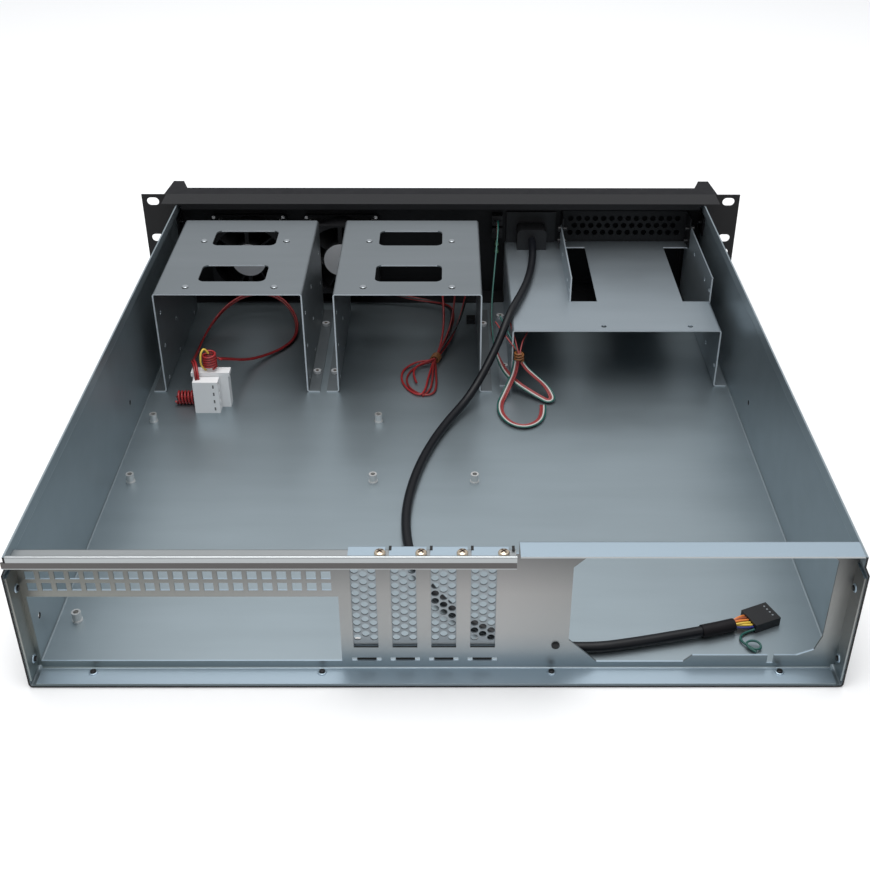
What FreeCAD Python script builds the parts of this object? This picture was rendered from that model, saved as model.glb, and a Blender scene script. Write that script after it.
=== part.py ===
import FreeCAD, Part
import math
import os
from types import SimpleNamespace

import Sketcher

# Short-depth 2U rackmount server case, lid off.
# X runs along the case's width, Y from its front to its rear and Z upwards.
# The origin is under the middle of the case, on the surface that it stands on.

DIMENSIONS = {
    # Folded tray
    "case_depth": 457.5,         # front face of the front panel to the rear edge of the tray
    "tray_width": 425.4,
    "tray_height": 86.9,
    "sheet": 1.0,                # zinc-plated sheet of the tray, rear panel, cages and bracket
    "joggle_depth": 2.76,        # step of the side walls inwards, to let a lid lie flush
    "joggle_bottom": 75.0,
    "joggle_rise": 5.5,
    "bend_radius": 2.0,          # outside of a bend
    "inner_radius": 1.0,         # inside of a bend
    "wall_hole_radius": 1.8,
    "wall_hole_height": 23.0,
    "wall_hole_setback": 29.9,
    "wall_hole_spacing": 214.3,
    # Rear panel
    "rear_recess": 12.45,        # rear face of the web to the rear edge of the tray
    "panel_gap": 0.1,            # between the panel's flanges and the tray's walls
    "side_flange_top": 73.0,
    "flange_setback": 0.5,       # flange edges to the rear edge of the tray
    "corner_relief": 3.0,
    "panel_split": -40.4,        # where the low top flange ends and the high one starts
    "split_relief": 0.85,
    "low_flange_height": 82.0,
    "lip_thickness": 2.0,        # hem of the upright lip, two sheets thick
    "flange_screw_inset": 8.8,   # screws of the bottom and side flanges, from the tray's rear edge
    "slot_screw_inset": 8.0,
    "slot_screw_side": 2.86,     # low edge of a card slot to its screw
    # Card slots
    "slot_first": 30.46,         # low edge of the first card slot
    "slot_width": 13.04,
    "slot_pitch": 20.32,
    "slot_bottom": 16.6,
    "slot_top": 79.5,
    "tongue_slit_width": 15.5,
    "tongue_slit_low": 6.9,
    "tongue_slit_high": 9.1,
    # Vents over the board's connectors
    "vent_size": 5.0,
    "vent_pitch": 7.435,
    "vent_first": 53.1,
    "vent_bottom": 55.3,
    # Board connector aperture
    "connector_left": 49.94,
    "connector_right": 208.69,
    "connector_bottom": 6.7,
    "connector_top": 51.2,
    # Power supply
    "supply_x": -62.2,           # first column of the power supply's screws
    "supply_z": 17.9,
    "supply_wide": 138.0,
    "supply_high": 64.0,
    "supply_step": 114.0,
    "supply_hole_radius": 2.2,
    "supply_side": 6.7,          # screw column to the side of the opening
    "supply_floor": 6.0,
    "supply_top": 78.0,
    "supply_edge": 1.2,
    "supply_sill": 4.5,
    "supply_sill_start": 61.4,
    "supply_corner": 15.5,
    "supply_notch": 1.7,
    # Card slot covers
    "blank_sheet": 0.8,
    "blank_width": 18.42,
    "blank_hole_radius": 2.0,
    "blank_hole_pitch": 5.0,
    "blank_column": 4.33,
    "blank_first_hole": 22.4,
    "blank_overlap": 4.2,        # low edge of a card slot to the plate's edge
    "blank_tab_overlap": 5.4,
    "blank_tab_length": 10.2,
    "blank_bottom": 12.0,
    "tongue_width": 10.2,
    # Board standoffs
    "standoff_height": 6.2,
    "standoff_radius": 2.6,
    "standoff_foot": 3.0,
    "standoff_thread": 1.5,
    "board_x": 200.4,            # first column of the board's screws
    "board_y": 27.4,             # first row, from the rear edge of the tray
    "board_column": 157.48,
    "board_third_column": 223.52,
    "board_step": 22.86,
    "board_middle": 154.94,
    "board_last": 227.33,
    # Drive cages
    "cage_outer_x": 148.0,
    "cage_inner_x": 22.5,
    "cage_setback": 34.5,        # rear face of the front panel to the cage
    "cage_length": 127.6,
    "cage_width": 104.2,
    "cage_height": 79.5,         # above the floor of the tray
    "foot_width": 8.2,
    "foot_screw_inset": 26.3,
    "window_width": 47.8,
    "window_length": 27.2,
    "window_radius": 5.0,
    "window_first": 19.5,        # front edge of the cage to the first window
    "window_pitch": 61.1,
    "drive_hole_radius": 1.75,
    "drive_row_low": 5.3,
    "drive_row_pitch": 26.5,
    "drive_hole_first": 13.0,
    "drive_hole_second": 73.0,
    "drive_hole_third": 114.6,
    "dimple_x": 30.86,
    "dimple_first": 39.3,
    "dimple_pitch": 77.2,
    "dimple_radius": 1.9,
    # Device bracket
    "bracket_left": -51.9,
    "bracket_width": 149.9,
    "bracket_height": 46.5,      # above the floor of the tray
    "bracket_length": 153.9,
    "tab_setback": 11.3,
    "tab_length": 97.0,
    "tab_height": 19.4,
    "left_tab": 44.5,            # bracket's left edge to the outer face of the left tab
    "tab_window": 19.7,
    "tab_hole_height": 7.5,
    "tab_hole_last": 4.0,
    "tab_hole_near": 18.5,
    "tab_hole_far": 63.0,
    "bracket_hole_x": 31.1,
    "bracket_hole_inset": 6.5,
    "side_hole_inset": 4.9,
    "side_hole_spacing": 33.9,
    "side_hole_height": 15.2,
    "bracket_relief": 21.0,      # the legs clear the front panel's bottom flange
    "relief_height": 3.0,
    # Small bay cover
    "bay_blank_height": 25.0,
    "bay_blank_gap": 2.0,
    "bay_blank_flange": 18.0,
    "blank_screw_inset": 14.5,
    "bay_edge": 1.6,
    "bay_hole_radius": 2.3,
    "bay_hole_pitch": 6.7,
    # Front panel
    "front_sheet": 1.2,
    "front_height": 88.1,
    "ear_reach": 241.3,
    "top_flange_reach": 221.4,
    "top_flange_depth": 19.3,
    "lip_height": 3.5,
    "bottom_flange_depth": 20.3,
    "front_tab_depth": 16.0,
    "front_tab_low": 60.0,
    "front_tab_high": 74.0,
    "front_screw_inset": 9.3,
    "front_screw_height": 68.6,
    "rack_hole_spacing": 465.1,
    "rack_slot_length": 9.8,
    "rack_slot_height": 6.8,
    "rack_low_hole": 5.95,
    "rack_unit_hole": 31.75,
    "rack_near_hole": 12.7,
    # Fans
    "fan_size": 60.0,
    "fan_depth": 25.0,
    "fan_hole_spacing": 50.0,
    "fan_outer_x": 155.2,
    "fan_inner_x": 80.6,
    "fan_height": 42.0,
    "fan_bore": 28.5,
    "fan_flange": 4.0,
    "blade_gap": 0.7,
    "hub_radius": 13.6,
    "motor_radius": 14.6,
    "motor_base": 3.0,
    "shaft_radius": 1.5,
    "shaft_clearance": 0.05,
    "fan_hole_radius": 2.2,
    "strut_width": 3.0,
    "strut_depth": 2.5,
    "bearing_radius": 3.6,
    "bearing_length": 9.0,
    "rotor_gap": 1.0,
    "blade_thickness": 1.4,
    "blade_root_rise": 5.0,
    "blade_tip_rise": 8.0,
    "label_radius": 13.8,
    "label_thickness": 0.2,
    # Bezel and end caps
    "bezel_depth": 14.4,
    "bezel_wall": 2.5,
    "bezel_reach": 207.0,
    "bezel_gap": 0.4,            # bezel's top and bottom edges to the panel's
    "handle_reach": 29.3,        # front face of the front panel to the tip of an end cap
    "cap_reach": 223.4,
    "cap_tip_inner": 212.5,
    "cap_tip_outer": 220.8,
    "grip_length": 52.0,
    "grip_depth": 9.0,
    "cover_gap": 0.2,
    "cover_thickness": 3.0,
    "large_bay_left": -53.0,
    "large_bay_width": 148.0,
    "large_bay_bottom": 3.4,
    "large_bay_height": 41.6,
    "small_bay_left": -99.3,
    "small_bay_width": 101.0,
    "small_bay_bottom": 49.0,
    "small_bay_height": 25.4,
    "louvre_height": 3.2,
    "louvre_pitch": 7.2,
    "louvre_width": 176.0,
    "louvre_x": 117.9,
    "louvre_bottom": 8.0,
    # Buttons, lamps and their switches
    "control_x": -45.6,
    "power_height": 69.0,
    "reset_height": 58.0,
    "power_button_radius": 3.6,
    "reset_button_radius": 2.4,
    "button_clearance": 0.3,
    "button_proud": 1.6,
    "button_rim": 1.2,
    "button_travel": 1.5,
    "switch_size": 8.4,
    "switch_depth": 8.0,
    "switch_front": 3.0,         # front face of the panel to the tip of a switch's plunger
    "pin_spacing": 4.0,
    "pin_thickness": 0.5,
    "pin_length": 4.0,
    "lamp_tail": 6.0,
    "lamp_radius": 1.5,
    "power_lamp_height": 47.5,
    "disk_lamp_height": 41.0,
    # Twin socket of the front
    "socket_x": -73.3,
    "socket_width": 23.5,
    "socket_bottom": 47.6,
    "socket_height": 17.4,
    "socket_depth": 17.3,
    "socket_block_height": 14.4,
    "holder_width": 40.0,
    "holder_top": 74.0,
    "holder_thickness": 2.0,
    "socket_mouth_width": 12.5,
    "socket_mouth_height": 4.6,
    # Screws
    "screw_radius": 1.5,
    "head_radius": 2.9,
    "head_height": 2.0,
    "small_head_radius": 2.5,
    "countersink": 2.8,
    "screw_tip": 3.0,
    # Leads
    "cable_radius": 3.0,
    "sleeve_radius": 3.75,
    "lead_radius": 1.1,
    "ribbon_radius": 1.6,
    "header_lead_radius": 0.65,
    "header_plug_length": 16.3,
    "header_plug_width": 14.0,
    "header_plug_height": 5.6,
    "header_pitch": 2.54,
    "header_pin_hole": 1.2,
    "header_socket_depth": 8.0,
    "plug_length": 17.6,
    "plug_width": 25.0,
    "plug_thickness": 8.0,
    "plug_pitch": 6.0,
    "plug_window_setback": 2.8,
    "plug_window_width": 1.1,
    "plug_window_height": 2.6,
    "plug_wall": 1.0,
    "plug_bore_radius": 1.6,
    "plug_bore_depth": 11.0,
    "plug_stand": 28.0,
    "plug_collar": 1.0,
    "plug_collar_length": 3.0,
    "plug_overhang": 6.2,
    "plug_clearance": 0.4,
    "coil_radius": 5.4,
    "tie_radius": 3.9,
    "hank_long": 24.0,
    "hank_short": 12.5,
    "hank_height": 4.0,
}


class Size:
    """A length in millimetres, with the spreadsheet expression that gives it."""

    def __init__(self, value, text=None):
        self.value = float(value)
        self.text = text or f"({value:.8g})"

    def joined(self, other, sign, value):
        return Size(value, f"({self.text} {sign} {other.text})")

    def __add__(self, other):
        other = as_size(other)
        return self.joined(other, "+", self.value + other.value)

    def __sub__(self, other):
        other = as_size(other)
        return self.joined(other, "-", self.value - other.value)

    def __mul__(self, other):
        other = as_size(other)
        return self.joined(other, "*", self.value * other.value)

    def __truediv__(self, other):
        other = as_size(other)
        return self.joined(other, "/", self.value / other.value)

    def __radd__(self, other):
        return as_size(other) + self

    def __rsub__(self, other):
        return as_size(other) - self

    def __rmul__(self, other):
        return as_size(other) * self

    def __neg__(self):
        return Size(0) - self


def as_size(length):
    """The length itself if it is a Size, or a plain number made into one."""
    return length if isinstance(length, Size) else Size(length)


document = FreeCAD.newDocument("server_case")


def write_sheet():
    """Put every driving dimension into the spreadsheet and return them as named Sizes."""
    sheet = document.addObject("Spreadsheet::Sheet", "Dimensions")
    for row, (name, value) in enumerate(DIMENSIONS.items(), start=1):
        sheet.set(f"A{row}", name)
        sheet.set(f"B{row}", str(value))
        sheet.setAlias(f"B{row}", name)
    document.recompute()
    return SimpleNamespace(**{name: Size(value, f"Dimensions.{name}") for name, value in DIMENSIONS.items()})


D = write_sheet()

# Places that several pieces share.
REAR = (D.case_depth + D.handle_reach) / 2          # rear edge of the tray
PANEL_BACK = REAR - D.case_depth + D.front_sheet    # rear face of the front panel
FLOOR = D.sheet                                     # top of the tray's floor
INNER_WALL = D.tray_width / 2 - D.sheet             # inner face of a side wall
UPPER_WALL = INNER_WALL - D.joggle_depth            # inner face of a wall above its step
JOGGLE_TOP = D.joggle_bottom + D.joggle_rise
WEB_BACK = -D.rear_recess                           # rear face of the rear panel, from the tray's edge
WEB_FRONT = WEB_BACK - D.sheet

AXIS_PLANES = {"X": "YZ_Plane", "Y": "XZ_Plane", "Z": "XY_Plane"}
AXIS_TURNS = {
    "X": FreeCAD.Rotation(FreeCAD.Vector(0, 1, 0), 90),
    "Y": FreeCAD.Rotation(FreeCAD.Vector(1, 0, 0), -90),
    "Z": FreeCAD.Rotation(),
}


# ---------------------------------------------------------------- drawing

def bind(thing, name, length):
    """Tie one property to its expression in the spreadsheet."""
    thing.setExpression(name, as_size(length).text)


def put(thing, x=0, y=0, z=0, turn=None):
    """Place an object, each coordinate tied to the spreadsheet."""
    place = [as_size(length) for length in (x, y, z)]
    thing.Placement = FreeCAD.Placement(FreeCAD.Vector(*[length.value for length in place]),
                                        turn or FreeCAD.Rotation())
    for axis, length in zip("xyz", place):
        bind(thing, f"Placement.Base.{axis}", length)
    return thing


def named(kind, label):
    """A new document object whose label is its node's name."""
    thing = document.addObject(kind, label)
    thing.Label = label
    return thing


def new_sketch(body, name, axis, at):
    """Sketch square to an axis of the body, at a distance along that axis."""
    plane = [item for item in body.Origin.OriginFeatures if item.Role == AXIS_PLANES[axis]][0]
    sketch = body.newObject("Sketcher::SketchObject", name)
    sketch.AttachmentSupport = [(plane, "")]
    sketch.MapMode = "FlatFace"
    offset = -as_size(at) if axis == "Y" else as_size(at)
    sketch.AttachmentOffset = FreeCAD.Placement(FreeCAD.Vector(0, 0, offset.value), FreeCAD.Rotation())
    bind(sketch, "AttachmentOffset.Base.z", offset)
    return sketch


def fix_point(sketch, edge, point, across, up):
    """Hold one end or centre of an edge at its place in the sketch."""
    for kind, length in (("DistanceX", across), ("DistanceY", up)):
        number = sketch.addConstraint(Sketcher.Constraint(kind, -1, 1, edge, point, length.value))
        bind(sketch, f"Constraints[{number}]", length)


def vector(point):
    return FreeCAD.Vector(point[0].value, point[1].value, 0)


def step_towards(corner, neighbour, radius):
    """The point on a level or upright side, one radius from its corner."""
    across = neighbour[0].value - corner[0].value
    up = neighbour[1].value - corner[1].value
    if abs(across) > abs(up):
        return (corner[0] + radius * math.copysign(1, across), corner[1])
    return (corner[0], corner[1] + radius * math.copysign(1, up))


def draw_outline(sketch, corners):
    """Closed outline of straight sides. A corner given with a radius is rounded."""
    points = [(as_size(corner[0]), as_size(corner[1])) for corner in corners]
    radii = [as_size(corner[2]) if len(corner) > 2 else None for corner in corners]
    count = len(points)
    edges = []
    for number in range(count):
        after = (number + 1) % count
        leave = points[number]
        if radii[number] is not None:
            arrive = step_towards(points[number], points[number - 1], radii[number])
            leave = step_towards(points[number], points[after], radii[number])
            edges.append(draw_bend(sketch, arrive, leave, points[number], radii[number]))
        reach = points[after]
        if radii[after] is not None:
            reach = step_towards(points[after], points[number], radii[after])
        if (vector(reach) - vector(leave)).Length > 1e-6:
            line = sketch.addGeometry(Part.LineSegment(vector(leave), vector(reach)), False)
            edges.append((line, 1, 2, leave))
    for number, (edge, first, last, start) in enumerate(edges):
        fix_point(sketch, edge, first, *start)
        before = edges[number - 1]
        sketch.addConstraint(Sketcher.Constraint("Coincident", before[0], before[2], edge, first))


def draw_bend(sketch, arrive, leave, corner, radius):
    """Quarter circle between two square sides: its number, its first and last point and its start."""
    centre = vector(arrive) + vector(leave) - vector(corner)
    start = vector(arrive) - centre
    finish = vector(leave) - centre
    counter = start.x * finish.y - start.y * finish.x > 0
    first, last = (start, finish) if counter else (finish, start)
    low = math.atan2(first.y, first.x)
    high = math.atan2(last.y, last.x)
    if high < low:
        high += 2 * math.pi
    circle = Part.Circle(centre, FreeCAD.Vector(0, 0, 1), radius.value)
    arc = sketch.addGeometry(Part.ArcOfCircle(circle, low, high), False)
    number = sketch.addConstraint(Sketcher.Constraint("Radius", arc, radius.value))
    bind(sketch, f"Constraints[{number}]", radius)
    return (arc, 1, 2, arrive) if counter else (arc, 2, 1, arrive)


def draw_circle(sketch, across, up, radius):
    """Circle held at its centre, with its radius tied to the spreadsheet."""
    centre = (as_size(across), as_size(up))
    radius = as_size(radius)
    circle = Part.Circle(vector(centre), FreeCAD.Vector(0, 0, 1), radius.value)
    edge = sketch.addGeometry(circle, False)
    fix_point(sketch, edge, 3, *centre)
    number = sketch.addConstraint(Sketcher.Constraint("Radius", edge, radius.value))
    bind(sketch, f"Constraints[{number}]", radius)


def rectangle(left, right, low, high, radius=None):
    """Corners of a rectangle, rounded where a radius is given."""
    corners = [(left, low), (right, low), (right, high), (left, high)]
    return [corner + (radius,) for corner in corners] if radius is not None else corners


def draw_loops(sketch, loops):
    """Outlines are lists of corners; a circle is a tuple of its centre and radius."""
    for loop in loops:
        if isinstance(loop, tuple):
            draw_circle(sketch, *loop)
        else:
            draw_outline(sketch, loop)


def pad(body, name, axis, loops, start, end):
    """Pad closed loops from one place to another along an axis of the body."""
    sketch = new_sketch(body, name + "_sketch", axis, end if axis == "Y" else start)
    draw_loops(sketch, loops)
    feature = body.newObject("PartDesign::Pad", name)
    feature.Profile = sketch
    bind(feature, "Length", as_size(end) - start)
    sketch.Visibility = False
    return feature


def pocket(body, name, axis, loops, start, end):
    """Cut closed loops from one place to another along an axis of the body."""
    sketch = new_sketch(body, name + "_sketch", axis, start if axis == "Y" else end)
    draw_loops(sketch, loops)
    feature = body.newObject("PartDesign::Pocket", name)
    feature.Profile = sketch
    bind(feature, "Length", as_size(end) - start)
    return feature


def repeat(body, name, feature, rows, columns=None):
    """Repeat a feature along its sketch's axes; rows and columns are (axis, pitch, count)."""
    pattern = body.newObject("PartDesign::LinearPattern", name)
    pattern.Originals = [feature]
    pattern.Direction = (feature.Profile[0], [rows[0]])
    bind(pattern, "Length", as_size(rows[1]) * (rows[2] - 1))
    pattern.Occurrences = rows[2]
    if columns:
        pattern.Direction2 = (feature.Profile[0], [columns[0]])
        bind(pattern, "Length2", as_size(columns[1]) * (columns[2] - 1))
        pattern.Occurrences2 = columns[2]
    body.Tip = pattern
    return pattern


def block(label, x, y, z):
    """Box between two places along each axis."""
    solid = named("Part::Box", label)
    for name, (low, high) in zip(("Length", "Width", "Height"), (x, y, z)):
        bind(solid, name, as_size(high) - low)
    return put(solid, x[0], y[0], z[0])


def rod(label, axis, radius, length, x=0, y=0, z=0):
    """Cylinder that starts at a place and runs along an axis."""
    solid = named("Part::Cylinder", label)
    bind(solid, "Radius", radius)
    bind(solid, "Height", length)
    return put(solid, x, y, z, AXIS_TURNS[axis])


def taper(label, axis, start_radius, end_radius, length, x=0, y=0, z=0):
    """Cone frustum that starts at a place and runs along an axis."""
    solid = named("Part::Cone", label)
    bind(solid, "Radius1", start_radius)
    bind(solid, "Radius2", end_radius)
    bind(solid, "Height", length)
    return put(solid, x, y, z, AXIS_TURNS[axis])


def fuse(label, pieces):
    """One solid from pieces that overlap or meet."""
    solid = named("Part::MultiFuse", label)
    solid.Shapes = pieces
    solid.Refine = True
    return solid


def cut(label, base, tools):
    """A solid less its tools."""
    solid = named("Part::Cut", label)
    solid.Base = base
    solid.Tool = tools[0] if len(tools) == 1 else group(label + "_tools", tools)
    solid.Refine = True
    return solid


def group(label, pieces):
    """Separate solids kept together as one node."""
    compound = named("Part::Compound", label)
    compound.Links = pieces
    return compound


# ---------------------------------------------------------------- screws

def pan_screw(label, axis, x, y, z, grip, head_radius=None):
    """Pan-headed screw. Its head stands on a face at the given place; a grip below zero points the other way."""
    head_radius = head_radius or D.head_radius
    face = {"X": as_size(x), "Y": as_size(y), "Z": as_size(z)}
    head_start = dict(face)
    shank_start = dict(face)
    grip = as_size(grip)
    if grip.value > 0:
        shank_start[axis] = face[axis] - grip
    else:
        head_start[axis] = face[axis] - D.head_height
        grip = -grip
    head = rod(label + "_head", axis, head_radius, D.head_height, *head_start.values())
    shank = rod(label + "_shank", axis, D.screw_radius, grip, *shank_start.values())
    return fuse(label, [head, shank])


def sunk_screw(label, axis, x, y, z, inwards):
    """Countersunk screw, flush with the outside of a sheet at the given place; it points inwards along the axis."""
    face = {"X": as_size(x), "Y": as_size(y), "Z": as_size(z)}
    shank_start = dict(face)
    length = D.sheet + D.panel_gap + D.screw_tip
    if inwards > 0:
        head = taper(label + "_head", axis, D.countersink, D.screw_radius, D.sheet, *face.values())
        shank_start[axis] = face[axis] + D.sheet
    else:
        head_start = dict(face)
        head_start[axis] = face[axis] - D.sheet
        shank_start[axis] = head_start[axis] - length
        head = taper(label + "_head", axis, D.screw_radius, D.countersink, D.sheet, *head_start.values())
    shank = rod(label + "_shank", axis, D.screw_radius, length, *shank_start.values())
    return fuse(label, [head, shank])


def sink_tools(label, places):
    """Countersinks of the tray's sheet, one for each flush screw."""
    tools = []
    for number, (axis, x, y, z, inwards) in enumerate(places):
        face = {"X": as_size(x), "Y": as_size(y), "Z": as_size(z)}
        if inwards > 0:
            radii = (D.countersink, D.screw_radius)
        else:
            radii = (D.screw_radius, D.countersink)
            face[axis] = face[axis] - D.sheet
        tools.append(taper(f"{label}_{number}", axis, *radii, D.sheet, *face.values()))
    return tools


REAR_FLOOR_SCREWS = (-181.1, -60.5, 60.5, 181.1)
REAR_WALL_SCREWS = (12.0, 60.0)


def rear_screw_places():
    """Flush screws of the rear panel, through the floor and through both walls."""
    along = REAR - D.flange_screw_inset
    floor = [("Z", x, along, 0, 1) for x in REAR_FLOOR_SCREWS]
    left = [("X", D.tray_width / 2, along, z, -1) for z in REAR_WALL_SCREWS]
    right = [("X", -D.tray_width / 2, along, z, 1) for z in REAR_WALL_SCREWS]
    return floor + left + right


def front_screw_places():
    """Flush screws of the front panel's side tabs."""
    along = PANEL_BACK + D.front_screw_inset
    return [("X", side * D.tray_width / 2, along, D.front_screw_height, -side) for side in (1, -1)]


def cage_screw_places(centre):
    """Screws through a cage's feet."""
    out = D.cage_width / 2 + D.foot_width / 2
    start = PANEL_BACK + D.cage_setback
    return [(centre + side * out, start + along) for side in (-1, 1)
            for along in (D.foot_screw_inset, D.cage_length - D.foot_screw_inset)]


def bracket_screw_places():
    """Screws through the wide bracket's feet."""
    out = D.foot_width / 2
    sides = (D.bracket_left + out, D.bracket_left - D.bracket_width - out)
    rows = (D.bracket_relief + D.foot_screw_inset, D.bracket_length - D.foot_screw_inset)
    return [(x, PANEL_BACK + along) for x in sides for along in rows]


def foot_screws(label, places):
    """Screws whose heads stand on the feet and whose ends are flush under the floor."""
    top = FLOOR + D.sheet
    return group(label, [pan_screw(f"{label}_{number}", "Z", x, y, top, top)
                         for number, (x, y) in enumerate(places)])


def sunk_screws(label, places):
    return group(label, [sunk_screw(f"{label}_{number}", *place) for number, place in enumerate(places)])


# ---------------------------------------------------------------- tray

def chassis_tray():
    """Floor and side walls folded from one sheet; the walls step inwards near the top."""
    body = named("PartDesign::Body", "tray_sheet")
    outer = D.tray_width / 2
    upper = outer - D.joggle_depth
    right = [
        (outer, 0, D.bend_radius), (outer, D.joggle_bottom), (upper, JOGGLE_TOP), (upper, D.tray_height),
        (UPPER_WALL, D.tray_height), (UPPER_WALL, JOGGLE_TOP), (INNER_WALL, D.joggle_bottom),
        (INNER_WALL, FLOOR, D.inner_radius),
    ]
    left = [(-corner[0],) + tuple(corner[1:]) for corner in reversed(right)]
    pad(body, "fold", "Y", [right + left], D.front_sheet - D.case_depth, 0)
    rear_hole = (-D.wall_hole_setback, D.wall_hole_height, D.wall_hole_radius)
    front_hole = (-D.wall_hole_setback - D.wall_hole_spacing, D.wall_hole_height, D.wall_hole_radius)
    pocket(body, "wall_holes", "X", [rear_hole, front_hole], -outer - D.sheet, outer + D.sheet)
    put(body, 0, REAR, 0)
    tools = sink_tools("rear_sink", rear_screw_places()) + sink_tools("front_sink", front_screw_places())
    feet = cage_screw_places(D.cage_outer_x) + cage_screw_places(D.cage_inner_x) + bracket_screw_places()
    for number, (x, y) in enumerate(feet):
        tools.append(rod(f"foot_hole_{number}", "Z", D.screw_radius, D.sheet * 2, x, y, -D.sheet / 2))
    return cut("chassis_tray", body, tools)


# ---------------------------------------------------------------- rear panel

def rear_panel():
    """Stamped rear wall: flanges along the floor and walls, a high top flange on one side and, over the
    card slots, a low one that turns up into a hemmed lip."""
    body = named("PartDesign::Body", "rear_panel")
    side = UPPER_WALL - D.panel_gap
    bottom = [(WEB_FRONT, FLOOR, D.bend_radius), (-D.flange_setback, FLOOR),
              (-D.flange_setback, FLOOR + D.sheet), (WEB_BACK, FLOOR + D.sheet, D.inner_radius)]
    high = [(WEB_BACK, D.tray_height - D.sheet, D.inner_radius), (-D.flange_setback, D.tray_height - D.sheet),
            (-D.flange_setback, D.tray_height), (WEB_FRONT, D.tray_height, D.bend_radius)]
    hem = D.lip_thickness * 0.45
    lip_front = -D.lip_thickness
    low = [(WEB_BACK, D.low_flange_height - D.sheet, D.inner_radius),
           (0, D.low_flange_height - D.sheet, D.bend_radius), (0, D.tray_height, hem),
           (lip_front, D.tray_height, hem), (lip_front, D.low_flange_height, D.inner_radius),
           (WEB_FRONT, D.low_flange_height, D.bend_radius)]
    pad(body, "high_side", "X", [bottom + high], -side, D.panel_split)
    pad(body, "low_side", "X", [bottom + low], D.panel_split, side)
    web = [WEB_FRONT, WEB_BACK]
    flange = INNER_WALL - D.panel_gap
    for name, way in (("left", 1), ("right", -1)):
        wing = [(way * (side - D.sheet), FLOOR + D.corner_relief), (way * flange, FLOOR + D.corner_relief),
                (way * flange, D.joggle_bottom), (way * side, JOGGLE_TOP), (way * (side - D.sheet), JOGGLE_TOP)]
        pad(body, name + "_wing", "Y", [wing], *web)
        tab = rectangle(WEB_FRONT, -D.flange_setback, FLOOR + D.corner_relief, D.side_flange_top)
        edges = sorted([way * flange, way * (flange - D.sheet)], key=lambda edge: edge.value)
        pad(body, name + "_flange", "X", [tab], *edges)
    split = rectangle(D.panel_split - D.split_relief, D.panel_split + D.split_relief, WEB_FRONT - 1, 1)
    pocket(body, "split", "Z", [split], D.low_flange_height - D.sheet * 3, D.tray_height + 1)
    last_slot = D.slot_first - D.slot_pitch * (SLOTS - 1)
    cut_web(body, "card_slots", [rectangle(last_slot, last_slot + D.slot_width, D.slot_bottom, D.slot_top)],
            SLOT_ROW)
    centre = last_slot + D.slot_width / 2
    cut_web(body, "tongue_slits", [rectangle(centre - D.tongue_slit_width / 2, centre + D.tongue_slit_width / 2,
                                             D.tongue_slit_low, D.tongue_slit_high)], SLOT_ROW)
    cut_web(body, "vents", [rectangle(D.vent_first, D.vent_first + D.vent_size, D.vent_bottom,
                                      D.vent_bottom + D.vent_size)],
            ("H_Axis", D.vent_pitch, VENT_COLUMNS), ("V_Axis", D.vent_pitch, VENT_ROWS))
    cut_web(body, "connector_aperture", [rectangle(D.connector_left, D.connector_right, D.connector_bottom,
                                                   D.connector_top)])
    cut_web(body, "supply_opening", [supply_outline()] + supply_holes())
    screws = [(slot_screw_x(number), -D.slot_screw_inset, D.screw_radius) for number in range(SLOTS)]
    pocket(body, "slot_screw_holes", "Z", [tuple(place) for place in screws],
           D.low_flange_height - D.sheet * 2, D.low_flange_height + D.sheet)
    floor = [(x, -D.flange_screw_inset, D.screw_radius) for x in REAR_FLOOR_SCREWS]
    pocket(body, "floor_screw_holes", "Z", floor, 0, FLOOR + D.sheet * 2)
    walls = [(-D.flange_screw_inset, z, D.screw_radius) for z in REAR_WALL_SCREWS]
    pocket(body, "wall_screw_holes", "X", walls, -INNER_WALL, INNER_WALL)
    return put(body, 0, REAR, 0)


SLOTS = 4
VENT_COLUMNS = 21
VENT_ROWS = 3
SLOT_ROW = ("H_Axis", D.slot_pitch, SLOTS)


def cut_web(body, name, loops, rows=None, columns=None):
    """Cut through the rear panel's web, once or in rows."""
    feature = pocket(body, name, "Y", loops, WEB_FRONT - D.sheet / 2, WEB_BACK + D.sheet / 2)
    return repeat(body, name + "_row", feature, rows, columns) if rows else feature


def slot_screw_x(number):
    return D.slot_first - D.slot_screw_side - D.slot_pitch * number


def supply_holes():
    """Screw holes of a standard power supply; the lowest of its four is an open notch."""
    top = D.supply_z + D.supply_high
    return [(D.supply_x, D.supply_z, D.supply_hole_radius), (D.supply_x, top, D.supply_hole_radius),
            (D.supply_x - D.supply_wide, top, D.supply_hole_radius)]


def supply_outline():
    """Opening behind the power supply's fan and sockets: corners cut off, a raised sill and a screw notch."""
    left = D.supply_x - D.supply_side
    right = D.supply_x - D.supply_wide - D.supply_edge
    floor = D.supply_floor
    sill = floor + D.supply_sill
    notch = D.supply_x - D.supply_step
    cut_corner = D.supply_corner
    return [
        (left, D.supply_top - cut_corner / 2), (left, floor + cut_corner), (left - cut_corner, floor),
        (left - D.supply_sill_start, floor), (left - D.supply_sill_start - D.supply_sill, sill),
        (notch + D.supply_notch, sill), (notch + D.supply_notch, floor - D.sheet),
        (notch - D.supply_notch, floor - D.sheet), (notch - D.supply_notch, sill),
        (right + cut_corner * 0.75, sill), (right + cut_corner * 0.2, sill + cut_corner * 0.25),
        (right, sill + cut_corner * 0.85), (right, D.supply_top - cut_corner / 4),
        (right + cut_corner / 4, D.supply_top), (left - cut_corner / 2, D.supply_top),
    ]


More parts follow.
